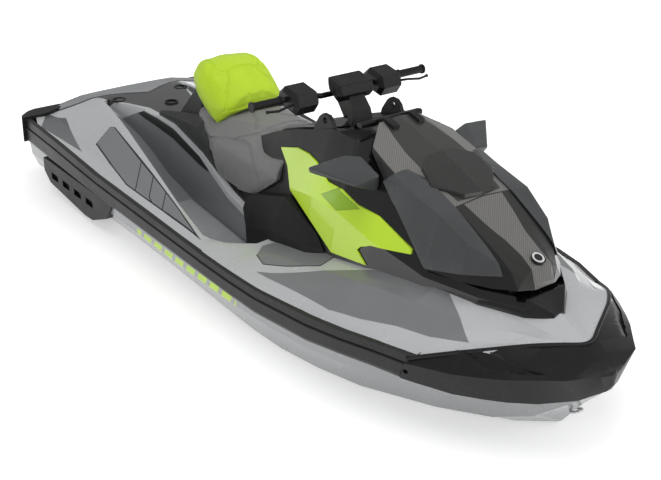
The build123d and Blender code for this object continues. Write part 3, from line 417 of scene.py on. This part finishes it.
def carbonFinish(name, dark, light, scale=380.0, regions=()):
    # clear-coated twill cloth; the regions are made darker or paler, by dye or as painted shade
    tree, shader = newMaterial(name, Coat_Weight=0.6, Coat_Roughness=0.06, Metallic=0.3)
    cloth = placed(tree, "twill", Scale=scale)
    marks = placed(tree, "handling", Amount=0.5)
    tows = mixed(tree, cloth["Tow"], dark, light)
    worn = mixed(tree, mathNode(tree, "MULTIPLY", marks["Scratch"], 0.06), tows, scaled(light, 1.3))
    rough = span(tree, cloth["Tow"], 0.0, 1.0, 0.34, 0.46)
    for inside, factor in regions:
        dyedOrShaded = tree.nodes.new("ShaderNodeVectorMath")
        dyedOrShaded.operation = "SCALE"
        tree.links.new(worn, dyedOrShaded.inputs[0])
        dyedOrShaded.inputs["Scale"].default_value = factor
        worn = mixed(tree, inside(tree), worn, dyedOrShaded.outputs["Vector"])
    tree.links.new(worn, shader.inputs["Base Color"])
    tree.links.new(rough, shader.inputs["Roughness"])
    tree.links.new(bumped(tree, cloth["Height"], 0.2, 0.0012), shader.inputs["Normal"])


def vinylFinish(name, colour, roughness=0.42, scale=520.0, depth=0.35):
    # stretched upholstery vinyl, with painted shade in the creases of its grain
    tree, shader = newMaterial(name, Sheen_Weight=0.15, Sheen_Roughness=0.4)
    hide = placed(tree, "hide", Scale=scale)
    marks = placed(tree, "handling", Amount=0.5)
    tint = mixed(tree, hide["Shade"], scaled(colour, 0.88), scaled(colour, 1.12))
    creaseShaded = mixed(tree, span(tree, hide["Height"], 0.0, 0.5, 0.35, 0.0), tint, scaled(colour, 0.6))
    tree.links.new(creaseShaded, shader.inputs["Base Color"])
    rough = mathNode(tree, "ADD", mathNode(tree, "MULTIPLY", marks["Smudge"], 0.12), roughness)
    tree.links.new(rough, shader.inputs["Roughness"])
    tree.links.new(bumped(tree, hide["Height"], depth, 0.0006), shader.inputs["Normal"])


def metalFinish(name, colour, roughness=0.3, scale=300.0, depth=0.1):
    # cast or drawn metal
    tree, shader = newMaterial(name, Metallic=1.0)
    grain = placed(tree, "grain", Scale=scale)
    marks = placed(tree, "handling", Amount=1.0)
    base = mixed(tree, grain["Mottle"], scaled(colour, 0.8), scaled(colour, 1.08))
    tree.links.new(base, shader.inputs["Base Color"])
    tree.links.new(mathNode(tree, "ADD", mathNode(tree, "MULTIPLY", marks["Smudge"], 0.2), roughness),
                   shader.inputs["Roughness"])
    tree.links.new(bumped(tree, grain["Height"], depth, 0.0008), shader.inputs["Normal"])


def planParts(tree):
    # length along the craft, distance from its centreline, and height
    parts = tree.nodes.new("ShaderNodeSeparateXYZ")
    tree.links.new(objectCoords(tree), parts.inputs["Vector"])
    return parts.outputs["X"], mathNode(tree, "ABSOLUTE", parts.outputs["Y"]), parts.outputs["Z"]


paintEdge = 0.0007  # half the width over which one painted colour turns to the next


def outline(points, plane="plan", grow=0.0):
    # inside a convex outline drawn in plan or in side view
    area = sum(a[0] * b[1] - b[0] * a[1] for a, b in zip(points, points[1:] + points[:1]))
    turn = 1.0 if area > 0 else -1.0

    def inside(tree):
        x, side, z = planParts(tree)
        across = side if plane == "plan" else z
        nearest = None
        for a, b in zip(points, points[1:] + points[:1]):
            run = math.dist(a, b)
            nx, ny = -(b[1] - a[1]) / run * turn, (b[0] - a[0]) / run * turn
            reach = mathNode(tree, "MULTIPLY_ADD", x, nx, grow - nx * a[0] - ny * a[1])
            reach = mathNode(tree, "MULTIPLY_ADD", across, ny, reach)
            nearest = reach if nearest is None else mathNode(tree, "MINIMUM", nearest, reach)
        return span(tree, nearest, -paintEdge, paintEdge)
    return inside


def inboardOf(points, shift=0.0):
    # nearer the centreline than a line drawn in plan, over that line's length
    low, high = points[0][0], points[-1][0]

    def inside(tree):
        x, side, _ = planParts(tree)
        share = mathNode(tree, "DIVIDE", mathNode(tree, "SUBTRACT", x, low), high - low)
        curve = tree.nodes.new("ShaderNodeFloatCurve")
        tree.links.new(share, curve.inputs["Value"])
        line = curve.mapping.curves[0]
        places = [((px - low) / (high - low), py) for px, py in points]
        line.points[0].location, line.points[1].location = places[0], places[-1]
        for place in places[1:-1]:
            line.points.new(*place)
        for point in line.points:
            point.handle_type = "VECTOR"
        curve.mapping.update()
        reach = mathNode(tree, "SUBTRACT", mathNode(tree, "ADD", curve.outputs["Value"], shift), side)
        within = mathNode(tree, "MULTIPLY", mathNode(tree, "GREATER_THAN", share, 0.0),
                          mathNode(tree, "LESS_THAN", share, 1.0))
        return mathNode(tree, "MULTIPLY", span(tree, reach, -paintEdge, paintEdge), within)
    return inside


def barRow(low, high, start, end, pitch, fill, lean):
    # a row of leaning bars along the hull's side
    def inside(tree):
        x, _, z = planParts(tree)
        level = mathNode(tree, "MULTIPLY", mathNode(tree, "GREATER_THAN", z, low),
                         mathNode(tree, "LESS_THAN", z, high))
        reach = mathNode(tree, "MULTIPLY", mathNode(tree, "GREATER_THAN", x, start),
                         mathNode(tree, "LESS_THAN", x, end))
        leant = mathNode(tree, "MULTIPLY_ADD", z, lean, x)
        ahead = mathNode(tree, "ADD", leant, 10.0)  # so that it is positive all along the craft
        beat = mathNode(tree, "FRACT", mathNode(tree, "DIVIDE", ahead, pitch))
        on = mathNode(tree, "LESS_THAN", beat, fill)
        return mathNode(tree, "MULTIPLY", mathNode(tree, "MULTIPLY", level, reach), on)
    return inside


# base colours
finishes = {
    # the hull's silver is the deck's silver painted darker, as painted shade on the hull's sides
    "silver": (0.52, 0.532, 0.545), "hullSilverShaded": (0.4, 0.41, 0.42),
    # the darkest lime below is the lime in painted shade, for the side panel's sunk facet
    "lime": (0.58, 0.86, 0.03), "limeVinyl": (0.53, 0.77, 0.02), "limeInPaintedShade": (0.29, 0.52, 0.004),
    "greyVinyl": (0.20, 0.20, 0.20), "charcoal": (0.075, 0.078, 0.08),
    "black": (0.01, 0.01, 0.0105), "rail": (0.02, 0.02, 0.021), "gloss": (0.006, 0.006, 0.007),
    "mat": (0.28, 0.29, 0.30), "engine": (0.2, 0.2, 0.21), "seatSide": (0.028, 0.029, 0.029),
    "decal": (0.2, 0.207, 0.216), "sternDecal": (0.12, 0.125, 0.13),
    "footwell": (0.2, 0.206, 0.214), "rearDeck": (0.05, 0.05, 0.052),
    "thread": (0.1, 0.1, 0.1), "limeThread": (0.4, 0.6, 0.02),
    "stainless": (0.62, 0.62, 0.63), "alloy": (0.5, 0.51, 0.52), "glass": (0.86, 0.88, 0.9),
}
# lines of the deck's colours, in plan: the two brims of the footwells, and the printed panels
deckLines = {
    "outerBrim": [(-1.44, 0.236), (-1.18, 0.285), (-1.04, 0.316), (-0.88, 0.355), (-0.6, 0.42),
                  (-0.3, 0.487), (-0.04, 0.53), (0.07, 0.49), (0.16, 0.4)],
    "innerBrim": [(-1.645, 0.47), (-1.585, 0.47), (-1.52, 0.262), (-1.44, 0.25), (-1.34, 0.21),
                  (-1.18, 0.154), (-1.04, 0.156), (-0.88, 0.164), (-0.6, 0.196), (-0.3, 0.242), (-0.1, 0.268)],
    "wedge": [(-1.3, 0.17), (-1.18, 0.154), (-1.04, 0.156), (-0.88, 0.164), (-0.6, 0.194), (-0.5, 0.204)],
    "flank": [(-1.175, 0.345), (-1.15, 0.338), (-0.07, 0.551), (-0.646, 0.544), (-1.136, 0.439)],
    "knee": [(0.248, 0.461), (0.331, 0.487), (0.559, 0.387), (0.548, 0.29), (0.24, 0.29)],
    "bow": [(0.35, 0.535), (0.79, 0.52), (0.918, 0.483), (1.173, 0.386), (1.29, 0.318), (1.0, 0.2)],
    "stern": [(-1.588, 0.487), (-1.488, 0.427), (-1.083, 0.544), (-1.429, 0.588)],
    "bandWidth": 0.03, "edging": 0.006,
}
gelcoatFinish("deck gelcoat", finishes["silver"], regions=[
    (inboardOf(deckLines["outerBrim"]), finishes["footwell"], 0.3),
    (inboardOf(deckLines["wedge"], 0.01), finishes["black"], 0.4),
    (inboardOf(deckLines["innerBrim"], 0.001), finishes["silver"], 0.22),
    (inboardOf(deckLines["innerBrim"], -deckLines["bandWidth"]), finishes["rearDeck"], 0.45),
    (outline(deckLines["flank"], grow=deckLines["edging"]), finishes["black"], 0.35),
    (outline(deckLines["knee"], grow=0.003), finishes["black"], 0.35),
    (outline(deckLines["bow"]), finishes["decal"], 0.3),
    (outline(deckLines["stern"]), finishes["sternDecal"], 0.35),
])
hullBars = {
    "low": 0.112, "high": 0.15, "start": -0.49, "end": 0.28, "pitch": 0.088, "fill": 0.72, "lean": -0.5,
}
# the hull's darker silver is painted shade of its sides; its lime bars are print
gelcoatFinish("hull gelcoat", finishes["hullSilverShaded"], regions=[(barRow(**hullBars), finishes["lime"], 0.25)])
# a sunk facet of the side panel, in side view, painted on: a dark rim and a darker lime are painted shade of
# its recess
accentSlot = [(0.409, 0.56), (0.528, 0.545), (0.639, 0.589), (0.501, 0.616)]
gelcoatFinish("lime panel", finishes["lime"], 0.22, 0.0, regions=[
    (outline(accentSlot, "side", 0.002), scaled(finishes["lime"], 0.25), 0.3),
    (outline(accentSlot, "side"), finishes["limeInPaintedShade"], 0.25),
])
gelcoatFinish("gloss black", finishes["gloss"], 0.16, 0.0, shine=0.25)


def stroke(start, end, width):
    # the corners of a thin straight line, drawn in plan
    run = Vector(end) - Vector(start)
    across = Vector((-run.y, run.x)).normalized() * width / 2
    return [tuple(Vector(start) + across), tuple(Vector(start) - across),
            tuple(Vector(end) - across), tuple(Vector(end) + across)]


# dark divider strokes on the side panels
strokeWidth = 0.005
panelStrokes = [((-0.737, 0.42), (-0.566, 0.552)), ((-0.582, 0.445), (-0.472, 0.533)),
                ((-0.472, 0.533), (-0.397, 0.556)), ((-0.415, 0.48), (-0.325, 0.556))]
gelcoatFinish("printed grey", finishes["decal"], 0.34, 0.1, regions=[
    (outline(stroke(start, end, strokeWidth)), finishes["black"], 0.4) for start, end in panelStrokes])
mouldedFinish("charcoal panel", finishes["charcoal"], 0.36, 900.0, 0.08, 0.25, 0.3, 0.25)
mouldedFinish("trim black", finishes["black"], 0.42, 800.0, 0.2)
mouldedFinish("rubbing strip", finishes["rail"], 0.4, 600.0, 0.15)
mouldedFinish("black rubber", finishes["black"], 0.55, 900.0, 0.4)
mouldedFinish("seat side plastic", finishes["seatSide"], 0.42, 700.0, 0.25)
mouldedFinish("foam mat", finishes["mat"], 0.8, 420.0, 0.6, 0.1)
mouldedFinish("engine paint", finishes["engine"], 0.5, 300.0, 0.3)
# lines of the hood's colours, in plan: its centre, darkened as painted shade, the ridge outside which it is
# black, the pale strip that runs down to the badge, and where its darker front begins
hoodLines = {
    "centre": [(0.5, 0.07), (0.609, 0.1), (0.7, 0.118), (0.83, 0.124), (0.97, 0.104), (0.985, 0.0)],
    "ridge": [(0.5, 0.15), (0.609, 0.19), (0.7, 0.2), (0.83, 0.206), (0.97, 0.202), (1.0, 0.13), (1.34, 0.1)],
    "strip": [(0.99, 0.092), (1.08, 0.074), (1.16, 0.052), (1.24, 0.044), (1.335, 0.05)],
    "front": 0.985,
}


def outsideOf(points):
    inboard = inboardOf(points)
    return lambda tree: mathNode(tree, "SUBTRACT", 1.0, inboard(tree))


def forwardOf(station):
    return lambda tree: mathNode(tree, "GREATER_THAN", planParts(tree)[0], station)


# the hood's centre is darkened as painted shade; its black flanks and darker front are dyed
carbonFinish("carbon twill", (0.15, 0.147, 0.14), (0.22, 0.216, 0.205), regions=[
    (outsideOf(hoodLines["ridge"]), 0.12), (inboardOf(hoodLines["centre"]), 0.25),
    (forwardOf(hoodLines["front"]), 0.14), (inboardOf(hoodLines["strip"]), 7.0),
])
carbonFinish("dark twill", (0.02, 0.0195, 0.019), (0.045, 0.044, 0.042))
vinylFinish("lime vinyl", finishes["limeVinyl"])
vinylFinish("grey vinyl", finishes["greyVinyl"])
metalFinish("stainless", finishes["stainless"], 0.22, 500.0, 0.05)
metalFinish("cast alloy", finishes["alloy"], 0.38, 350.0, 0.2)
metalFinish("mirror glass", finishes["glass"], 0.02, 200.0, 0.0)
mouldedFinish("thread", finishes["thread"], 0.7, 900.0, 0.3, 0.1)
mouldedFinish("lime thread", finishes["limeThread"], 0.7, 900.0, 0.3, 0.1)


badge = {"centre": (1.2727, 0.0, 0.5765), "radius": 0.0195, "width": 0.0032, "blur": 0.0008}


def badgeFinish(name):
    # plain black badge with one pale ring
    tree, shader = newMaterial(name, Coat_Weight=0.6, Coat_Roughness=0.05)
    grain = placed(tree, "grain", Scale=900.0)
    away = tree.nodes.new("ShaderNodeVectorMath")
    away.operation = "DISTANCE"
    tree.links.new(objectCoords(tree), away.inputs[0])
    away.inputs[1].default_value = badge["centre"]
    offset = mathNode(tree, "ABSOLUTE", mathNode(tree, "SUBTRACT", away.outputs["Value"], badge["radius"]))
    ring = span(tree, offset, badge["width"], badge["width"] + badge["blur"], 1.0, 0.0)
    plate = mixed(tree, grain["Mottle"], scaled(finishes["gloss"], 0.8), scaled(finishes["gloss"], 1.4))
    silver = mixed(tree, grain["Mottle"], (0.6, 0.6, 0.61), (0.74, 0.74, 0.75))
    tree.links.new(mixed(tree, ring, plate, silver), shader.inputs["Base Color"])
    tree.links.new(mathNode(tree, "MULTIPLY_ADD", ring, 0.15, 0.2), shader.inputs["Roughness"])
    tree.links.new(bumped(tree, grain["Height"], 0.08, 0.0004), shader.inputs["Normal"])


badgeFinish("dark disc")
print("materials made:", len(materials))


record = frame["record"]
bodyOf = {node: body for body, members in record["behaviour"]["bodies"].items() for node in members}
mergeDistance = 0.00002
flatAngle = 0.6  # faces that turn less than this, in degrees, are one flat face


def newObject(name, bm, material):
    mesh = bpy.data.meshes.new(name)
    bm.to_mesh(mesh)
    bm.free()
    piece = bpy.data.objects.new(name, mesh)
    bpy.context.scene.collection.objects.link(piece)
    mesh.materials.append(materials[material])
    return piece


def standIn(piece, node):
    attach(piece, bodyOf[node])
    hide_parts(node)


def smoothed(piece, angle):
    for face in piece.data.polygons:
        face.use_smooth = True
    piece.data.set_sharp_from_angle(angle=math.radians(angle))


def rounded(piece, width, angle):
    bevel = piece.modifiers.new("corners", "BEVEL")
    bevel.width = width
    bevel.segments = 2
    bevel.limit_method = "ANGLE"
    bevel.angle_limit = math.radians(angle)
    bevel.miter_outer = "MITER_ARC"
    bevel.harden_normals = False
    weighted = piece.modifiers.new("shading", "WEIGHTED_NORMAL")
    weighted.keep_sharp = True


def finishedCopy(node, material, width, angle):
    # a piece that keeps its CAD shape, with its corners rounded on a merged copy
    bm = bmesh.new()
    bm.from_mesh(nodes[node].data)
    bmesh.ops.remove_doubles(bm, verts=bm.verts, dist=mergeDistance)
    bmesh.ops.dissolve_limit(bm, angle_limit=math.radians(flatAngle), verts=bm.verts, edges=bm.edges)
    piece = newObject(node + "_finished", bm, material)
    smoothed(piece, angle)
    if width:
        rounded(piece, width, angle)
    standIn(piece, node)


# node: material, corner radius in metres
kept = {
    "hull": ("hull gelcoat", 0.003), "deck": ("deck gelcoat", 0.004),
    "side_rails": ("rubbing strip", 0.003), "bow_bumper": ("trim black", 0.0),
    "stern_caps": ("trim black", 0.005), "sponsons": ("trim black", 0.004),
    "rear_mat": ("foam mat", 0.001), "footwell_mats": ("foam mat", 0.001),
    "flank_panels": ("printed grey", 0.001), "knee_plates": ("printed grey", 0.001),
    "engine_block": ("engine paint", 0.004), "console": ("trim black", 0.006),
    "nose_cowl": ("gloss black", 0.004), "accent_panels": ("lime panel", 0.003),
    "knee_pods": ("black rubber", 0.006), "seat_base": ("seat side plastic", 0.006),
    "socket_rings": ("trim black", 0.001), "ride_plate": ("cast alloy", 0.001),
    "intake_grate": ("cast alloy", 0.001), "pump_housing": ("cast alloy", 0.0),
    "bow_eye": ("stainless", 0.0), "stern_eyes": ("stainless", 0.0),
    "mirror_glass": ("mirror glass", 0.0005),
    "hood": ("carbon twill", 0.006), "hood_scoop": ("dark twill", 0.004),
    "hood_side_panels": ("charcoal panel", 0.003), "emblem_disc": ("dark disc", 0.001),
    "glovebox_lid": ("trim black", 0.003), "steering_column": ("trim black", 0.0),
    "steering_cover": ("trim black", 0.005), "handlebar": ("trim black", 0.0),
    "grips": ("black rubber", 0.001), "control_housings": ("trim black", 0.006),
    "levers": ("trim black", 0.0), "gauge_pod": ("trim black", 0.005),
    "impeller": ("stainless", 0.0), "trim_ring": ("cast alloy", 0.0005),
    "steering_nozzle": ("cast alloy", 0.0005), "reverse_gate": ("trim black", 0.002),
    "hood_handle": ("trim black", 0.003), "grab_loops": ("trim black", 0.003),
}

# steepest step between faces that still reads as one curved face, in degrees
usualCrease = 30.0
creases = {
    "deck": 9.0, "hull": 13.0, "hood": 15.0, "hood_side_panels": 15.0, "nose_cowl": 16.0, "console": 20.0,
    "accent_panels": 17.0, "knee_pods": 20.0, "bow_bumper": 16.0, "hood_scoop": 15.0, "seat_base": 20.0,
}
for node, (material, width) in kept.items():
    finishedCopy(node, material, width, creases.get(node, usualCrease))
print("carried-over pieces finished")


def applied(piece):
    # the piece's mesh with its modifiers worked into it
    graph = bpy.context.evaluated_depsgraph_get()
    mesh = bpy.data.meshes.new_from_object(piece.evaluated_get(graph))
    piece.modifiers.clear()
    piece.data = mesh


def eased(bm, verts, passes):
    for _ in range(passes):
        bmesh.ops.smooth_vert(bm, verts=verts, factor=0.5, use_axis_x=True, use_axis_y=True, use_axis_z=True)


def remeshed(node, name, material, voxel, passes):
    # a merged copy in even quads, with its corners eased
    bm = bmesh.new()
    bm.from_mesh(nodes[node].data)
    bmesh.ops.remove_doubles(bm, verts=bm.verts, dist=mergeDistance)
    piece = newObject(name, bm, material)
    remesh = piece.modifiers.new("even quads", "REMESH")
    remesh.mode = "VOXEL"
    remesh.voxel_size = voxel
    applied(piece)
    bm = bmesh.new()
    bm.from_mesh(piece.data)
    eased(bm, bm.verts, passes)
    bm.to_mesh(piece.data)
    bm.free()
    return piece


# swept mirror shells, one each side
allSmooth = 180.0
mirrorShell = {"material": "charcoal panel", "voxel": 0.0035, "passes": 14}
mirrors = remeshed("mirrors", "mirror_shells", **mirrorShell)
smoothed(mirrors, allSmooth)
standIn(mirrors, "mirrors")
print("mirror shells made")


def pointsOf(mesh):
    places = numpy.empty(len(mesh.vertices) * 3)
    mesh.vertices.foreach_get("co", places)
    return places.reshape(-1, 3)


def facingOf(mesh):
    normals = numpy.empty(len(mesh.vertices) * 3)
    mesh.vertex_normals.foreach_get("vector", normals)
    return normals.reshape(-1, 3)


def putPoints(mesh, places):
    mesh.vertices.foreach_set("co", places.reshape(-1))
    mesh.update()


# the cover's simulation: its frames, its quality, and how far down a face looks to be the underside
airing = {"frames": 20, "quality": 4, "underFacing": -0.3}


def swollen(piece, pressure, cap, underCap):
    # air pressure in the closed cover, held back where the pad lies on its base
    start = pointsOf(piece.data)
    facing = facingOf(piece.data)
    cloth = piece.modifiers.new("cover", "CLOTH")
    cloth.settings.quality = airing["quality"]
    cloth.settings.use_pressure = True
    cloth.settings.uniform_pressure_force = pressure
    cloth.settings.effector_weights.gravity = 0.0
    cloth.point_cache.frame_start = 1
    cloth.point_cache.frame_end = airing["frames"]
    for step in range(1, airing["frames"] + 1):
        bpy.context.scene.frame_set(step)
    applied(piece)
    moved = pointsOf(piece.data) - start
    limit = numpy.where(facing[:, 2] < airing["underFacing"], underCap, cap)
    length = numpy.maximum(numpy.linalg.norm(moved, axis=1), 1e-9)
    moved *= numpy.minimum(1.0, limit / length)[:, None]
    putPoints(piece.data, start + moved)
    bpy.context.scene.frame_set(1)


seam = {"step": 0.002, "passes": 6}


def seamSamples(piece, lines):
    # each seam laid on the cover, as places, headings and facings a step apart
    bm = bmesh.new()
    bm.from_mesh(piece.data)
    surface = BVHTree.FromBMesh(bm)
    bm.free()
    found = []
    for line in lines:
        for side in (-1.0, 1.0):
            places = [Vector((x, y * side, z)) for x, y, z in line]
            laid = []
            for a, b in zip(places, places[1:]):
                count = max(1, int((b - a).length / seam["step"]))
                laid += [a.lerp(b, i / count) for i in range(count)]
            laid.append(places[-1])
            for _ in range(seam["passes"]):
                between = [(p + 2 * q + r) / 4 for p, q, r in zip(laid, laid[1:], laid[2:])]
                laid = [laid[0]] + between + [laid[-1]]
            hits = [surface.find_nearest(place) for place in laid]
            for i, (place, facing, _, _) in enumerate(hits):
                after, before = hits[min(i + 1, len(hits) - 1)][0], hits[max(i - 1, 0)][0]
                found.append((place, (after - before).normalized(), facing))
    return found


def sewn(piece, samples, depth, width, puff):
    # the cover pulled in along its seams, and a little full beside them
    tree = KDTree(len(samples))
    for i, (place, _, _) in enumerate(samples):
        tree.insert(place, i)
    tree.balance()
    places, facing = pointsOf(piece.data), facingOf(piece.data)
    away = numpy.array([tree.find(place)[2] for place in places])
    full = puff * numpy.exp(-((away - 3.0 * width) / (1.6 * width)) ** 2)
    shift = full - depth * numpy.exp(-(away / width) ** 2)
    putPoints(piece.data, places + facing * shift[:, None])


stitch = {"offset": 0.0055, "spacing": 0.007, "size": (0.0026, 0.0007, 0.0006), "shortest": 0.0005}


def stitches(name, samples, material, body):
    # short thread stitches in a row on each side of a seam
    length, width, height = stitch["size"]
    bm = bmesh.new()
    last = None
    for place, heading, facing in samples:
        if last is not None and stitch["shortest"] < (place - last).length < stitch["spacing"]:
            continue
        last = place
        across = heading.cross(facing).normalized()
        frameOf = Matrix((heading, across, facing)).transposed().to_4x4()
        for side in (-1.0, 1.0):
            at = Matrix.Translation(place + across * stitch["offset"] * side + facing * height * 0.3)
            shape = Matrix.Diagonal((length, width, height, 1.0))
            bmesh.ops.create_icosphere(bm, subdivisions=1, radius=1.0, matrix=at @ frameOf @ shape)
    piece = newObject(name, bm, material)
    smoothed(piece, allSmooth)
    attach(piece, body)


tuck = {"reach": 0.012, "depth": 0.0015, "passes": 8, "full": 0.3}


def tuckedIn(piece, neighbours):
    # the cover's thin edges eased, then tucked just under the hard pieces beside it
    reach, full = tuck["reach"], tuck["full"]
    bm = bmesh.new()
    for neighbour in neighbours:
        bm.from_mesh(nodes[neighbour].data)
    hard = BVHTree.FromBMesh(bm)
    bm.free()
    bm = bmesh.new()
    bm.from_mesh(piece.data)
    near = [v for v in bm.verts if hard.find_nearest(v.co, reach)[0] is not None]
    eased(bm, near, tuck["passes"])
    for vert in near:
        place, facing, _, gap = hard.find_nearest(vert.co, reach)
        if place is None or (vert.co - place).dot(facing) < 0:
            continue
        share = min(1.0, max(0.0, (gap / reach - full) / (1.0 - full)))
        vert.co -= facing * (gap + tuck["depth"]) * (1.0 - share * share * (3.0 - 2.0 * share))
    bm.to_mesh(piece.data)
    bm.free()


def padFrom(node, spec):
    piece = remeshed(node, node + "_pad", spec["material"], spec["voxel"], spec["passes"])
    putPoints(piece.data, pointsOf(piece.data) - facingOf(piece.data) * spec["shrink"])
    swollen(piece, spec["pressure"], spec["cap"], spec["underCap"])
    finer = piece.modifiers.new("finer", "SUBSURF")
    finer.levels = finer.render_levels = 1
    applied(piece)
    samples = seamSamples(piece, spec["seams"])
    sewn(piece, samples, spec["seamDepth"], spec["seamWidth"], spec["puff"])
    tuckedIn(piece, spec["beside"])
    smoothed(piece, allSmooth)
    standIn(piece, node)
    stitches(node + "_stitches", samples, spec["thread"], bodyOf[node])


# the seat's cushion, and the raised bolster behind it
cushion = {
    "material": "grey vinyl", "thread": "thread", "voxel": 0.0075, "passes": 10, "shrink": 0.002,
    "pressure": 4.0, "cap": 0.006, "underCap": 0.0005, "fill": 0.8,
    "seamDepth": 0.003, "seamWidth": 0.0038, "puff": 0.0008, "beside": ["console", "seat_base"],
    "seams": [
        [(-0.53, -0.2, 0.47), (-0.439, -0.198, 0.5), (-0.387, -0.189, 0.512), (-0.333, -0.183, 0.521),
         (-0.283, -0.165, 0.547), (-0.227, -0.14, 0.582), (-0.215, -0.082, 0.59), (-0.215, 0.0, 0.59)],
        [(-0.333, -0.183, 0.521), (-0.266, -0.176, 0.532), (-0.216, -0.179, 0.531), (-0.181, -0.193, 0.514),
         (-0.151, -0.207, 0.495), (-0.096, -0.225, 0.455), (-0.054, -0.234, 0.427)],
        [(-0.26, -0.118, 0.585), (-0.317, -0.07, 0.59), (-0.4, -0.04, 0.589), (-0.43, 0.0, 0.589)],
    ],
}
padFrom("seat_cushion", cushion)
bolster = {
    "material": "lime vinyl", "thread": "lime thread", "voxel": 0.006, "passes": 22, "shrink": -0.001,
    "pressure": 4.0, "cap": 0.008, "underCap": 0.0005, "fill": 0.85,
    "seamDepth": 0.003, "seamWidth": 0.0036, "puff": 0.001, "beside": ["seat_base"],
    "seams": [
        [(-0.693, -0.098, 0.769), (-0.627, -0.103, 0.769), (-0.575, -0.112, 0.753), (-0.554, -0.09, 0.742),
         (-0.561, -0.052, 0.75), (-0.563, 0.0, 0.756)],
        [(-0.448, -0.153, 0.615), (-0.452, -0.145, 0.642), (-0.478, -0.122, 0.685), (-0.512, -0.089, 0.715),
         (-0.556, -0.07, 0.744)],
    ],
}
padFrom("seat_bolster", bolster)
print("seat and bolster sewn")


def bead(name, points, radius, material, body):
    # a smooth round bead laid along a line of places
    data = bpy.data.curves.new(name, "CURVE")
    data.dimensions = "3D"
    data.bevel_depth = radius
    data.bevel_resolution = 3
    data.resolution_u = 12
    data.use_fill_caps = True
    spline = data.splines.new("NURBS")
    spline.points.add(len(points) - 1)
    for point, place in zip(spline.points, points):
        point.co = (*place, 1.0)
    spline.order_u = 3
    spline.use_endpoint_u = True
    line = bpy.data.objects.new(name + "_line", data)
    bpy.context.scene.collection.objects.link(line)
    bpy.context.view_layer.update()
    mesh = bpy.data.meshes.new_from_object(line.evaluated_get(bpy.context.evaluated_depsgraph_get()))
    bpy.data.objects.remove(line)
    mesh.name = name
    mesh.materials.clear()
    mesh.materials.append(materials[material])
    piece = bpy.data.objects.new(name, mesh)
    bpy.context.scene.collection.objects.link(piece)
    smoothed(piece, 50.0)
    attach(piece, body)


# rubber bead that seals the bumper's upper edge to the deck
bumperBead = {
    "radius": 0.0075, "lift": 0.002,
    "half": [(1.162, 0.478, 0.286), (1.198, 0.449, 0.300), (1.251, 0.410, 0.322), (1.316, 0.358, 0.346),
             (1.381, 0.278, 0.362), (1.438, 0.185, 0.370), (1.49, 0.09, 0.366), (1.526, 0.03, 0.362),
             (1.531, 0.0, 0.362)],
}
port = [(x, y, z + bumperBead["lift"]) for x, y, z in bumperBead["half"]]
starboard = [(x, -y, z) for x, y, z in reversed(port[:-1])]
bead("bumper_bead", port + starboard, bumperBead["radius"], "trim black", "craft")
print("bumper bead laid")
